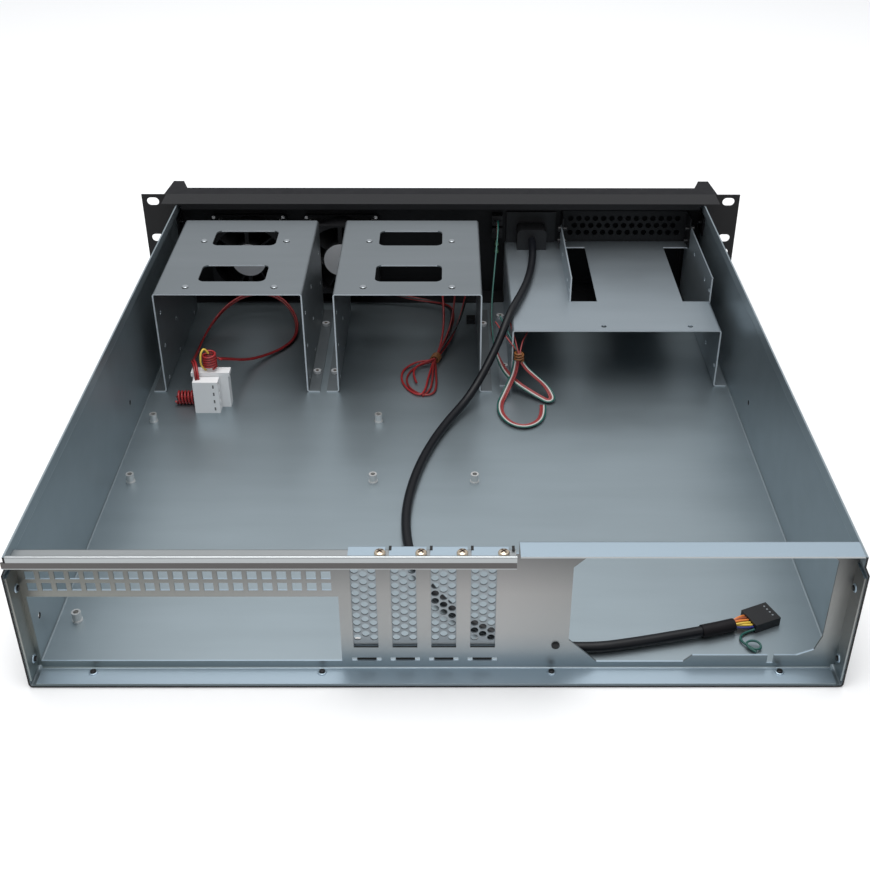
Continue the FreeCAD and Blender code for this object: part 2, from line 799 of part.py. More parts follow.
def slot_blank(number):
    """Card slot cover: perforated plate inside the web, tab over the low flange and a tongue below."""
    body = named("PartDesign::Body", f"slot_blank_{number + 1}")
    plate_low = D.slot_first - D.blank_overlap
    plate_high = plate_low + D.blank_width
    back = WEB_FRONT
    front = back - D.blank_sheet
    top = D.low_flange_height + D.blank_sheet
    tab_low = D.slot_first - D.blank_tab_overlap
    shoulder = D.low_flange_height - D.sheet * 2
    profile = [(front, shoulder), (back, shoulder), (back, D.low_flange_height),
               (back + D.blank_tab_length, D.low_flange_height), (back + D.blank_tab_length, top),
               (front, top, D.inner_radius)]
    pad(body, "tab", "X", [profile], tab_low, tab_low + D.blank_width)
    plate = rectangle(plate_low, plate_high, D.blank_bottom, shoulder)
    pad(body, "plate", "Y", [plate], front, back)
    centre = D.slot_first + D.slot_width / 2
    tongue = rectangle(centre - D.tongue_width / 2, centre + D.tongue_width / 2, D.tongue_slit_low - D.sheet,
                       D.blank_bottom)
    pad(body, "tongue", "Y", [tongue], front, back)
    cut_from, cut_to = front - D.sheet, back + D.sheet
    outer = pocket(body, "outer_holes", "Y",
                   [(centre - D.blank_column, D.blank_first_hole, D.blank_hole_radius),
                    (centre + D.blank_column, D.blank_first_hole, D.blank_hole_radius)], cut_from, cut_to)
    repeat(body, "outer_rows", outer, ("V_Axis", D.blank_hole_pitch, BLANK_ROWS))
    middle = pocket(body, "middle_holes", "Y",
                    [(centre, D.blank_first_hole + D.blank_hole_pitch / 2, D.blank_hole_radius)], cut_from, cut_to)
    repeat(body, "middle_row", middle, ("V_Axis", D.blank_hole_pitch, BLANK_ROWS))
    pocket(body, "screw_notch", "Z",
           [rectangle(tab_low - 1, D.slot_first - D.slot_screw_side + D.screw_radius,
                      -D.slot_screw_inset - D.screw_radius, -D.slot_screw_inset + D.screw_radius)],
           D.low_flange_height - D.sheet, top + D.sheet)
    return put(body, -D.slot_pitch * number, REAR, 0)


BLANK_ROWS = 10


def slot_screws():
    top = D.low_flange_height + D.blank_sheet
    return group("slot_screws", [
        pan_screw(f"slot_screw_{number}", "Z", slot_screw_x(number), REAR - D.slot_screw_inset, top,
                  D.blank_sheet + D.sheet + D.screw_tip)
        for number in range(SLOTS)])


# ---------------------------------------------------------------- board standoffs

def board_standoffs():
    """Threaded standoffs on the standard board pattern, each on a round foot."""
    first = D.board_x
    second = D.board_x - D.board_column
    third = D.board_x - D.board_third_column
    row = REAR - D.board_y
    places = [(first, row - D.board_step), (first, row - D.board_middle), (first, row - D.board_last),
              (second, row), (second, row - D.board_middle), (second, row - D.board_last),
              (third, row), (third, row - D.board_middle)]
    solids = []
    for number, (x, y) in enumerate(places):
        name = f"standoff_{number}"
        foot = rod(name + "_foot", "Z", D.standoff_foot, D.sheet, x, y, FLOOR)
        post = rod(name + "_post", "Z", D.standoff_radius, D.standoff_height, x, y, FLOOR)
        thread = rod(name + "_thread", "Z", D.standoff_thread, D.standoff_height, x, y, FLOOR + D.sheet)
        solids.append(cut(name, fuse(name + "_body", [foot, post]), [thread]))
    return group("board_standoffs", solids)


# ---------------------------------------------------------------- drive cages and bracket

def hat_profile(half, height):
    """Section of a sheet bent into a bridge with two outward feet."""
    foot = half + D.foot_width
    inside = half - D.sheet
    right = [(foot, 0), (foot, D.sheet), (half, D.sheet, D.inner_radius), (half, height, D.bend_radius)]
    right_inside = [(inside, height - D.sheet, D.inner_radius), (inside, 0, D.bend_radius)]
    left = [(-corner[0],) + tuple(corner[1:]) for corner in reversed(right)]
    left_inside = [(-corner[0],) + tuple(corner[1:]) for corner in reversed(right_inside)]
    return right + left + left_inside + right_inside


def drive_cage(label, centre):
    """Folded bridge over a stack of drives, with two windows in its top and screw holes in its sides."""
    body = named("PartDesign::Body", label)
    half = D.cage_width / 2
    pad(body, "fold", "Y", [hat_profile(half, D.cage_height)], 0, D.cage_length)
    over = [D.cage_height - D.sheet * 2, D.cage_height + D.sheet]
    windows = [rectangle(-D.window_width / 2, D.window_width / 2, start, start + D.window_length, D.window_radius)
               for start in (D.window_first, D.window_first + D.window_pitch)]
    pocket(body, "windows", "Z", windows, *over)
    dimples = [(side * D.dimple_x, along, D.dimple_radius) for side in (-1, 1)
               for along in (D.dimple_first, D.dimple_first + D.dimple_pitch)]
    pocket(body, "top_holes", "Z", dimples, *over)
    row = pocket(body, "drive_holes", "X", [(along, D.drive_row_low, D.drive_hole_radius) for along in
                                            (D.drive_hole_first, D.drive_hole_second, D.drive_hole_third)],
                 -half - D.sheet, half + D.sheet)
    repeat(body, "drive_rows", row, ("V_Axis", D.drive_row_pitch, 3))
    out = half + D.foot_width / 2
    feet = [(side * out, along, D.screw_radius) for side in (-1, 1)
            for along in (D.foot_screw_inset, D.cage_length - D.foot_screw_inset)]
    pocket(body, "foot_holes", "Z", feet, -D.sheet, D.sheet * 2)
    return put(body, centre, PANEL_BACK + D.cage_setback, FLOOR)


# Width between the two tabs of the wide bracket, and its middle from the bracket's own middle.
DEVICE_GAP = D.bracket_width - D.left_tab - D.sheet * 2
DEVICE_MIDDLE = -D.left_tab / 2


def bay_bracket():
    """Wide bridge over the large bay; the metal of its two windows stands up as tabs for a small device."""
    body = named("PartDesign::Body", "bay_bracket")
    half = D.bracket_width / 2
    top = D.bracket_height
    pad(body, "fold", "Y", [hat_profile(half, top)], 0, D.bracket_length)
    tab_end = D.tab_setback + D.tab_length
    tab_side = rectangle(D.tab_setback, tab_end, top - D.sheet * 3, top + D.tab_height)
    left_face = half - D.left_tab - D.sheet
    right_face = -half + D.sheet
    windows = [rectangle(left_face - D.tab_window, left_face, D.tab_setback, tab_end),
               rectangle(right_face, right_face + D.tab_window, D.tab_setback, tab_end)]
    pocket(body, "windows", "Z", windows, top - D.sheet * 2, top + D.sheet)
    left_side = rectangle(D.tab_setback, tab_end, top - D.sheet, top + D.tab_height)
    pad(body, "left_tab", "X", [left_side], left_face, left_face + D.sheet)
    pad(body, "right_tab", "X", [tab_side], -half, right_face)
    holes = [(along, top + D.tab_hole_height, D.drive_hole_radius) for along in
             (tab_end - D.tab_hole_last, tab_end - D.tab_hole_last - D.tab_hole_near,
              tab_end - D.tab_hole_last - D.tab_hole_far)]
    holes += [(D.blank_screw_inset, D.sheet + z, D.screw_radius) for z in blank_screw_heights()]
    pocket(body, "tab_holes", "X", holes, -half - D.sheet, left_face + D.sheet * 2)
    corner_holes = [(side * D.bracket_hole_x + DEVICE_MIDDLE, D.bracket_length - D.bracket_hole_inset,
                     D.dimple_radius) for side in (-1, 1)]
    pocket(body, "plate_holes", "Z", corner_holes, top - D.sheet * 2, top + D.sheet)
    sides = [(D.bracket_length - D.side_hole_inset, D.side_hole_height, D.drive_hole_radius),
             (D.bracket_length - D.side_hole_inset - D.side_hole_spacing, D.side_hole_height,
              D.drive_hole_radius)]
    pocket(body, "side_holes", "X", sides, -half - D.sheet, half + D.sheet)
    relief = rectangle(-D.sheet, D.bracket_relief, -D.sheet, D.relief_height)
    pocket(body, "front_relief", "X", [relief], -half - D.foot_width - 1, half + D.foot_width + 1)
    out = half + D.foot_width / 2
    feet = [(side * out, along, D.screw_radius) for side in (-1, 1)
            for along in (D.bracket_relief + D.foot_screw_inset, D.bracket_length - D.foot_screw_inset)]
    pocket(body, "foot_holes", "Z", feet, -D.sheet, D.sheet * 2)
    return put(body, D.bracket_left - half, PANEL_BACK, FLOOR)


def blank_screw_heights():
    """Heights of the small bay cover's screws above the bracket's foot."""
    bottom = D.bracket_height + D.bay_blank_gap - D.sheet
    return [bottom + D.bay_blank_height * share for share in (0.2, 0.62)]


def bay_blank():
    """Perforated cover of the small bay, with a flange at each side that is screwed to the bracket's tabs."""
    body = named("PartDesign::Body", "bay_blank")
    half = DEVICE_GAP / 2 - D.panel_gap
    section = [(-half, 0, D.inner_radius), (half, 0, D.inner_radius), (half, D.bay_blank_flange),
               (half - D.blank_sheet, D.bay_blank_flange), (half - D.blank_sheet, D.blank_sheet),
               (-half + D.blank_sheet, D.blank_sheet), (-half + D.blank_sheet, D.bay_blank_flange),
               (-half, D.bay_blank_flange)]
    pad(body, "fold", "Z", [section], 0, D.bay_blank_height)
    pitch = D.bay_hole_pitch
    middle = D.bay_blank_height / 2
    start = -pitch * (BAY_COLUMNS - 1) / 2
    long_rows = pocket(body, "long_rows", "Y",
                       [(start, middle - pitch * 0.92, D.bay_hole_radius), (start, middle + pitch * 0.92,
                                                                          D.bay_hole_radius)],
                       -D.sheet, D.blank_sheet * 2)
    repeat(body, "long_rows_repeat", long_rows, ("H_Axis", pitch, BAY_COLUMNS))
    short_row = pocket(body, "short_row", "Y", [(start + pitch / 2, middle, D.bay_hole_radius)],
                       -D.sheet, D.blank_sheet * 2)
    repeat(body, "short_row_repeat", short_row, ("H_Axis", pitch, BAY_COLUMNS - 1))
    height = D.bracket_height + D.bay_blank_gap
    holes = [(D.blank_screw_inset, z + D.sheet - height, D.screw_radius) for z in blank_screw_heights()]
    pocket(body, "screw_holes", "X", holes, -half - D.sheet, half + D.sheet)
    x = D.bracket_left - D.bracket_width / 2 + DEVICE_MIDDLE
    return put(body, x, PANEL_BACK, FLOOR + height)


BAY_COLUMNS = 14


def bay_blank_screws():
    """Two screws through each tab of the bracket into the small bay cover's flanges."""
    middle = D.bracket_left - D.bracket_width / 2 + DEVICE_MIDDLE
    solids = []
    grip = D.sheet + D.panel_gap + D.blank_sheet + D.screw_tip
    for side in (1, -1):
        for number, height in enumerate(blank_screw_heights()):
            x = middle + side * (DEVICE_GAP / 2 + D.sheet)
            solids.append(pan_screw(f"bay_blank_screw_{side + 1}_{number}", "X", x,
                                    PANEL_BACK + D.blank_screw_inset, FLOOR + D.sheet + height, grip * side,
                                    D.small_head_radius))
    return group("bay_blank_screws", solids)


# ---------------------------------------------------------------- front

def front_panel():
    """Black sheet with rack ears, a top flange that ends in a lip, a bottom flange and two side tabs."""
    body = named("PartDesign::Body", "front_panel")
    thick = D.front_sheet
    top = D.front_height
    lip_reach = UPPER_WALL - D.sheet * 3
    pad(body, "plate", "Y", [rectangle(-D.ear_reach, D.ear_reach, 0, top)], -thick, 0)
    pad(body, "top_flange", "X", [rectangle(-thick, D.top_flange_depth, top - thick, top)],
        -D.top_flange_reach, D.top_flange_reach)
    lip = rectangle(D.top_flange_depth - thick, D.top_flange_depth, top - thick - D.lip_height, top)
    pad(body, "lip", "X", [lip], -lip_reach, lip_reach)
    pad(body, "bottom_flange", "X", [rectangle(-thick, D.bottom_flange_depth, FLOOR, FLOOR + thick)],
        -lip_reach, lip_reach)
    face = INNER_WALL - D.panel_gap
    tab = rectangle(-thick, D.front_tab_depth, D.front_tab_low, D.front_tab_high)
    pad(body, "left_tab", "X", [tab], face - thick, face)
    pad(body, "right_tab", "X", [tab], -face, thick - face)
    pocket(body, "tab_holes", "X", [(D.front_screw_inset, D.front_screw_height, D.screw_radius)],
           -face - 1, face + 1)
    through = [-thick - D.sheet, D.sheet]
    fans = []
    for centre in (D.fan_outer_x, D.fan_inner_x):
        fans.append((centre, D.fan_height, D.fan_bore - D.sheet))
        fans += [(centre + across, D.fan_height + up, D.screw_radius) for across, up in fan_corners()]
    pocket(body, "fan_openings", "Y", fans, *through)
    middle = D.bracket_left - D.bracket_width / 2 + DEVICE_MIDDLE
    small_half = DEVICE_GAP / 2 - D.bay_edge
    small_bottom = FLOOR + D.bracket_height + D.bay_blank_gap + D.sheet
    bays = [rectangle(D.large_bay_left - D.large_bay_width, D.large_bay_left, D.large_bay_bottom,
                      D.large_bay_bottom + D.large_bay_height),
            rectangle(middle - small_half, middle + small_half, small_bottom,
                      small_bottom + D.bay_blank_height - D.sheet * 2),
            rectangle(D.socket_x - SOCKET_HALF - D.cover_gap, D.socket_x + SOCKET_HALF + D.cover_gap,
                      socket_low() - D.cover_gap, socket_low() + D.socket_block_height + D.cover_gap)]
    pocket(body, "bay_openings", "Y", bays, *through)
    half = D.switch_size / 2
    controls = [rectangle(D.control_x - half, D.control_x + half, height - half, height + half)
                for height in (D.power_height, D.reset_height)]
    controls += [(D.control_x, height, D.lamp_radius) for height in (D.power_lamp_height, D.disk_lamp_height)]
    pocket(body, "control_holes", "Y", controls, *through)
    pocket(body, "rack_slots", "Y", [rack_slot(side, height) for side in (-1, 1) for height in rack_heights()],
           *through)
    return put(body, 0, PANEL_BACK, 0)


SOCKET_HALF = D.socket_mouth_width / 2 + D.sheet


def socket_low():
    return D.socket_bottom + D.sheet


def fan_corners():
    """Screw places of a fan from its centre."""
    half = D.fan_hole_spacing / 2
    return [(half, half), (-half, half), (half, -half), (-half, -half)]


def rack_heights():
    """Heights of the rack slots in each ear."""
    second = D.rack_low_hole + D.rack_unit_hole
    third = second + D.rack_near_hole
    return [D.rack_low_hole, second, third, third + D.rack_unit_hole]


def rack_slot(side, height):
    centre = side * D.rack_hole_spacing / 2
    half = D.rack_slot_length / 2
    round_end = D.rack_slot_height / 2
    return rectangle(centre - half, centre + half, height - round_end, height + round_end, round_end)


def front_bezel():
    """Moulded front: a shallow tray of plastic with bay openings, louvres and holes for the controls."""
    body = named("PartDesign::Body", "front_bezel")
    depth = D.bezel_depth
    wall = D.bezel_wall
    low = D.bezel_gap
    high = D.front_height - D.bezel_gap
    pad(body, "block", "Y", [rectangle(-D.bezel_reach, D.bezel_reach, low, high)], -depth, 0)
    pocket(body, "hollow", "Y", [rectangle(-D.bezel_reach + wall, D.bezel_reach - wall, low + wall, high - wall)],
           wall - depth, 1)
    front = [-depth - 1, wall - depth + 1]
    openings = [bay_cover_corners(D.large_bay_left, D.large_bay_width, D.large_bay_bottom, D.large_bay_height),
                bay_cover_corners(D.small_bay_left, D.small_bay_width, D.small_bay_bottom, D.small_bay_height)]
    openings.append(rectangle(D.socket_x - SOCKET_HALF, D.socket_x + SOCKET_HALF, socket_low(),
                              socket_low() + D.socket_block_height))
    openings += [(D.control_x, D.power_height, D.power_button_radius + D.button_clearance),
                 (D.control_x, D.reset_height, D.reset_button_radius + D.button_clearance)]
    openings += [(D.control_x, height, D.lamp_radius) for height in (D.power_lamp_height, D.disk_lamp_height)]
    pocket(body, "openings", "Y", openings, *front)
    louvre = pocket(body, "louvre", "Y",
                    [rectangle(D.louvre_x - D.louvre_width / 2, D.louvre_x + D.louvre_width / 2, D.louvre_bottom,
                               D.louvre_bottom + D.louvre_height, D.louvre_height / 2)], *front)
    repeat(body, "louvres", louvre, ("V_Axis", D.louvre_pitch, LOUVRES))
    return put(body, 0, PANEL_BACK - D.front_sheet, 0)


LOUVRES = 10


def bay_cover_corners(left, width, bottom, height, gap=0):
    return rectangle(left - width + gap, left - gap, bottom + gap, bottom + height - gap)


def bay_cover(label, left, width, bottom, height):
    """Plain snap-in cover of a bay, with a shallow frame line and a hollow back."""
    body = named("PartDesign::Body", label)
    front = -D.bezel_depth
    back = front + D.cover_thickness
    pad(body, "plate", "Y", [bay_cover_corners(left, width, bottom, height, D.cover_gap)], front, back)
    pocket(body, "hollow", "Y", [bay_cover_corners(left, width, bottom, height, D.cover_gap + D.sheet * 2)],
           back - D.sheet, back + 1)
    return put(body, 0, PANEL_BACK - D.front_sheet, 0)


def end_cap(label, side):
    """Moulded handle at one end of the bezel: tapered in plan, with a grip opening through its nose."""
    body = named("PartDesign::Body", label)
    low = D.bezel_gap
    high = D.front_height - D.bezel_gap
    plan = [(D.bezel_reach, 0), (D.cap_reach, 0), (D.cap_tip_outer, -D.handle_reach),
            (D.cap_tip_inner, -D.handle_reach), (D.bezel_reach, -D.bezel_depth)]
    pad(body, "plan", "Z", [[(side * x, y) for x, y in plan]], low, high)
    middle = D.front_height / 2
    back = -D.bezel_depth
    grip = rectangle(back - D.grip_depth, back, middle - D.grip_length / 2, middle + D.grip_length / 2,
                     D.grip_depth * 0.45)
    reach = sorted([side * (D.bezel_reach - 1), side * (D.cap_reach + 1)], key=lambda edge: edge.value)
    pocket(body, "grip", "X", [grip], *reach)
    return put(body, 0, PANEL_BACK - D.front_sheet, 0)


# ---------------------------------------------------------------- fans

def fan_frame(label, centre):
    """Square fan frame: two flanges round a bore, struts at the rear that carry the motor base and bearing."""
    body = named("PartDesign::Body", label)
    half = D.fan_size / 2
    depth = D.fan_depth
    square = rectangle(-half, half, -half, half, D.fan_flange * 0.75)
    pad(body, "front_flange", "Y", [square], 0, D.fan_flange)
    pad(body, "rear_flange", "Y", [square], depth - D.fan_flange, depth)
    pad(body, "tunnel", "Y", [(0, 0, half - D.panel_gap)], 0, depth)
    pocket(body, "bore", "Y", [(0, 0, D.fan_bore)], -1, depth + 1)
    reach = D.fan_bore + D.sheet / 2
    bar = D.strut_width / 2
    pad(body, "level_strut", "Y", [rectangle(-reach, reach, -bar, bar)], depth - D.strut_depth, depth)
    pad(body, "upright_strut", "Y", [rectangle(-bar, bar, -reach, reach)], depth - D.strut_depth, depth)
    pad(body, "motor_base", "Y", [(0, 0, D.motor_radius)], depth - D.motor_base, depth)
    pad(body, "bearing", "Y", [(0, 0, D.bearing_radius)], depth - D.motor_base - D.bearing_length,
        depth - D.motor_base)
    pocket(body, "bearing_bore", "Y", [(0, 0, D.shaft_radius + D.shaft_clearance)],
           depth - D.motor_base - D.bearing_length - 1, depth - D.motor_base / 2)
    corners = [(across, up, D.fan_hole_radius) for across, up in fan_corners()]
    pocket(body, "corner_holes", "Y", corners, -1, depth + 1)
    return put(body, centre, PANEL_BACK, D.fan_height)


def fan_rotor(label, centre):
    """Hub cup on a shaft, with swept blades trimmed to the tunnel."""
    body = named("PartDesign::Body", label)
    front = D.fan_flange
    back = D.fan_depth - D.motor_base - D.rotor_gap
    pad(body, "hub", "Y", [(0, 0, D.hub_radius)], front, back)
    root = blade_section(body, "blade_root", D.hub_radius - D.sheet, D.blade_root_rise)
    tip = blade_section(body, "blade_tip", D.fan_bore + D.sheet, D.blade_tip_rise)
    blade = body.newObject("PartDesign::AdditiveLoft", "blade")
    blade.Profile = root
    blade.Sections = [tip]
    blade.Ruled = True
    ring = body.newObject("PartDesign::PolarPattern", "blades")
    ring.Originals = [blade]
    ring.Axis = ([item for item in body.Origin.OriginFeatures if item.Role == "Y_Axis"][0], [""])
    ring.Angle = 360
    ring.Occurrences = BLADES
    body.Tip = ring
    pocket(body, "trim", "Y", [(0, 0, D.fan_bore - D.blade_gap), (0, 0, D.fan_bore * 2)], -1, D.fan_depth + 1)
    pocket(body, "cup", "Y", [(0, 0, D.hub_radius - D.sheet)], front + D.sheet, back + 1)
    pad(body, "shaft", "Y", [(0, 0, D.shaft_radius)], front + D.sheet / 2, D.fan_depth - D.motor_base * 0.6)
    return put(body, centre, PANEL_BACK, D.fan_height)


BLADES = 7
HEADER_COLUMNS = 5
PLUG_WAYS = 4


def blade_section(body, name, radius, rise):
    """Slanted section of a blade at one radius."""
    sketch = new_sketch(body, name, "X", radius)
    front = D.fan_flange + D.sheet
    back = D.fan_depth - D.motor_base - D.rotor_gap - D.sheet
    thick = D.blade_thickness / 2
    draw_outline(sketch, [(front, rise - thick), (back, -rise - thick), (back, -rise + thick),
                          (front, rise + thick)])
    return sketch


def fan_labels():
    """Bare round stickers on the motor bases."""
    y = PANEL_BACK + D.fan_depth
    return group("fan_labels", [rod(f"fan_label_{number}", "Y", D.label_radius, D.label_thickness, x, y,
                                    D.fan_height)
                                for number, x in enumerate((D.fan_outer_x, D.fan_inner_x))])


def fan_screws():
    """Screws through the front panel into the fans' front flanges."""
    y = PANEL_BACK - D.front_sheet
    grip = -(D.front_sheet + D.fan_flange + D.screw_tip)
    solids = []
    for fan, centre in enumerate((D.fan_outer_x, D.fan_inner_x)):
        for number, (across, up) in enumerate(fan_corners()):
            solids.append(pan_screw(f"fan_screw_{fan}_{number}", "Y", centre + across, y, D.fan_height + up, grip))
    return group("fan_screws", solids)


# ---------------------------------------------------------------- controls

def push_button(label, height, radius):
    """Round button: cap in the bezel's hole, a rim behind it and a stem towards its switch."""
    back = PANEL_BACK - D.front_sheet
    front = back - D.bezel_depth
    rim_start = front + D.bezel_wall + D.button_clearance
    stem_end = back - D.switch_front - D.button_travel - D.button_clearance
    cap = rod(label + "_cap", "Y", radius, D.bezel_wall + D.button_clearance + D.button_proud, D.control_x,
              front - D.button_proud, height)
    rim = rod(label + "_rim", "Y", radius + D.button_rim, D.button_rim, D.control_x, rim_start, height)
    stem = rod(label + "_stem", "Y", D.screw_radius, stem_end - rim_start, D.control_x, rim_start, height)
    return fuse(label, [cap, rim, stem])


def push_switch(label, height):
    """Square switch held in the front panel, with a plunger in front and two terminals behind."""
    half = D.switch_size / 2
    back = PANEL_BACK - D.front_sheet
    collar_half = half + D.sheet
    body = block(label + "_body", (D.control_x - half, D.control_x + half),
                 (back - D.sheet, PANEL_BACK + D.switch_depth), (height - half, height + half))
    collar = block(label + "_collar", (D.control_x - collar_half, D.control_x + collar_half),
                   (back - D.sheet, back), (height - collar_half, height + collar_half))
    plunger = rod(label + "_plunger", "Y", D.screw_radius, D.switch_front - D.sheet, D.control_x,
                  back - D.switch_front, height)
    pins = [block(f"{label}_pin_{number}",
                  (D.control_x + side * D.pin_spacing / 2 - D.pin_thickness,
                   D.control_x + side * D.pin_spacing / 2 + D.pin_thickness),
                  (PANEL_BACK + D.switch_depth, PANEL_BACK + D.switch_depth + D.pin_length),
                  (height - D.pin_thickness, height + D.pin_thickness))
            for number, side in enumerate((-1, 1))]
    return fuse(label, [body, collar, plunger] + pins)


def indicator_lamps():
    """Two round lamps from the bezel's face to behind the front panel."""
    front = PANEL_BACK - D.front_sheet - D.bezel_depth
    length = D.bezel_depth + D.front_sheet + D.lamp_tail
    return group("indicator_lamps", [
        rod(f"lamp_{number}", "Y", D.lamp_radius, length, D.control_x, front, height)
        for number, height in enumerate((D.power_lamp_height, D.disk_lamp_height))])


def usb_socket():
    """Twin socket: a block through the front panel with two mouths, one above the other."""
    body = named("PartDesign::Body", "usb_socket")
    low = socket_low()
    high = low + D.socket_block_height
    front = -D.front_sheet - D.bezel_depth
    pad(body, "block", "Y", [rectangle(D.socket_x - SOCKET_HALF, D.socket_x + SOCKET_HALF, low, high)], front, 0)
    half = D.socket_mouth_width / 2
    step = (high - low) / 2
    mouths = [rectangle(D.socket_x - half, D.socket_x + half, middle - D.socket_mouth_height / 2,
                        middle + D.socket_mouth_height / 2) for middle in (low + step / 2, high - step / 2)]
    pocket(body, "mouths", "Y", mouths, front - 1, -D.front_sheet)
    return put(body, 0, PANEL_BACK, 0)


def usb_holder():
    """Moulded holder behind the twin socket: a base plate on the panel and a block with an arched top."""
    body = named("PartDesign::Body", "usb_holder")
    half = D.holder_width / 2
    block_half = D.socket_width / 2
    low = D.socket_bottom
    high = low + D.socket_height
    pad(body, "plate", "Y", [rectangle(D.socket_x - half, D.socket_x + half, low, D.holder_top)],
        0, D.holder_thickness)
    arch = [(D.socket_x - block_half, low), (D.socket_x + block_half, low),
            (D.socket_x + block_half, high, D.bend_radius * 2), (D.socket_x - block_half, high, D.bend_radius * 2)]
    pad(body, "block", "Y", [arch], 0, D.socket_depth)
    return put(body, 0, PANEL_BACK, 0)


# ---------------------------------------------------------------- leads

def route(label, points):
    """Straight runs joined by tangent arcs, as one wire, with the arcs' radii printed."""
    corners = [FreeCAD.Vector(*point) for point in points]
    edges = []
    start = corners[0]
    radii = []
    for before, corner, after in zip(corners, corners[1:], corners[2:]):
        to_before = before - corner
        to_after = after - corner
        turn = math.pi - to_before.getAngle(to_after)
        setback = 0.45 * min(to_before.Length, to_after.Length)
        radius = setback / math.tan(turn / 2)
        radii.append(radius)
        first = corner + to_before.normalize() * setback
        last = corner + to_after.normalize() * setback
        inward = (to_before + to_after).normalize()
        centre_distance = radius / math.cos(turn / 2)
        middle = corner + inward * (centre_distance - radius)
        edges.append(Part.LineSegment(start, first).toShape())
        edges.append(Part.Arc(first, middle, last).toShape())
        start = last
    edges.append(Part.LineSegment(start, corners[-1]).toShape())
    print(label, "radii", [round(radius, 1) for radius in radii])
    return Part.Wire(edges)


def tube(label, points, radius):
    """Round lead of one radius along a route, its volume compared with its section times its length."""
    wire = route(label, points)
    start = FreeCAD.Vector(*points[0])
    along = FreeCAD.Vector(*points[1]) - start
    section = Part.Wire([Part.Circle(start, along, radius.value).toShape()])
    shape = wire.makePipeShell([section], True, False)
    expected = math.pi * radius.value ** 2 * wire.Length
    if abs(shape.Volume / expected - 1) > 0.01:
        raise RuntimeError(f"{label}: volume {shape.Volume:.1f}, expected {expected:.1f}")
    print(label, "length", round(wire.Length, 1))
    lead = named("Part::Feature", label)
    lead.Shape = shape
    return lead


USB_CABLE = [(-73.3, -195.6, 56.0), (-73.3, -180.0, 56.0), (-74.2, -157.0, 52.0), (-69.0, -129.0, 51.5),
             (-60.5, -102.5, 51.9), (-50.5, -77.5, 52.0), (-40.0, -55.0, 34.0), (-22.0, -31.0, 10.0),
             (-3.5, -2.0, 4.7), (10.0, 34.0, 4.4), (18.5, 73.0, 4.4), (22.5, 110.0, 4.4), (15.5, 146.0, 4.4),
             (-4.5, 181.4, 4.4), (-36.0, 210.4, 4.4), (-78.0, 219.9, 4.4), (-112.0, 214.0, 4.4),
             (-138.0, 208.0, 4.9)]
USB_SLEEVE = [(-138.0, 208.0, 4.9), (-149.0, 205.46, 5.11), (-163.0, 198.5, 6.0)]
HEADER_LEADS = [
    [(-163.67, 199.84, 6.0), (-168.4, 201.6, 6.4), (-174.0, 201.7, 4.6)],
    [(-163.0, 198.5, 7.5), (-168.2, 199.4, 8.0), (-173.1, 199.6, 4.6)],
    [(-162.33, 197.16, 6.0), (-167.6, 196.6, 6.4), (-172.2, 197.6, 4.6)],
    [(-163.27, 199.04, 4.3), (-167.0, 194.4, 3.4), (-171.2, 195.3, 3.6)],
    [(-174.6, 203.1, 3.2), (-170.4, 205.0, 2.6), (-166.0, 208.8, 2.4), (-165.4, 213.6, 2.4),
     (-168.6, 217.2, 2.4), (-172.8, 219.6, 2.4)],
]
PLUG_X = 155.4
PLUG_BACK = -30.1

SWITCH_LEAD = [(-45.6, -200.9, 69.0), (-45.6, -193.5, 69.0), (-45.0, -185.0, 63.5), (-43.5, -172.0, 54.0),
               (-41.5, -154.0, 42.5), (-39.5, -134.0, 32.5), (-38.6, -114.0, 25.0), (-39.6, -95.0, 19.5),
               (-42.6, -77.0, 15.5), (-47.6, -61.0, 12.0), (-56.0, -50.0, 9.0), (-65.5, -43.5, 5.6),
               (-73.0, -38.5, 3.4), (-79.0, -34.0, 3.0), (-84.0, -36.5, 3.6), (-82.5, -42.5, 5.6),
               (-76.0, -46.8, 9.6), (-68.0, -50.0, 15.5), (-61.6, -52.8, 20.5), (-58.9, -53.9, 25.0)]
LOOP_LEAD = [(-55.0, -54.7, 25.0), (-54.2, -52.8, 17.0), (-50.0, -49.0, 8.6), (-46.0, -42.0, 3.2),
             (-42.6, -31.0, 2.7), (-43.4, -17.0, 2.7), (-50.0, -5.0, 2.7), (-60.0, -1.6, 2.7),
             (-69.0, -7.6, 2.7), (-73.2, -19.0, 2.7), (-73.6, -30.0, 2.7)]
OUTER_LEAD = [(170.0, -26.1, 26.0), (170.0, -26.1, 30.5), (172.2, -34.0, 35.0), (175.8, -44.0, 31.0),
              (179.4, -60.0, 22.0), (182.6, -80.0, 13.5), (184.4, -102.0, 8.0), (184.2, -124.0, 6.4),
              (180.2, -146.0, 8.6), (172.5, -161.0, 13.5), (159.5, -170.0, 19.0), (144.0, -172.6, 21.0),
              (129.5, -169.8, 17.5), (118.6, -160.0, 10.5), (113.6, -145.0, 5.0), (114.4, -128.0, 2.8),
              (121.4, -113.5, 2.8), (131.5, -102.5, 3.2), (140.5, -90.0, 6.6), (147.0, -75.0, 14.0),
              (152.2, -59.0, 24.0), (156.8, -42.0, 34.0)]
INNER_LEAD = [(50.6, -190.0, 14.0), (40.0, -189.2, 12.0), (22.0, -186.0, 8.0), (4.0, -181.5, 7.0),
              (-6.5, -170.0, 9.5), (-10.0, -153.0, 12.5), (-7.6, -131.0, 10.5), (-2.6, -112.0, 5.2),
              (2.2, -97.6, 5.2)]


def header_leads():
    return group("usb_header_leads", [tube(f"header_lead_{number}", points, D.header_lead_radius)
                                      for number, points in enumerate(HEADER_LEADS)])


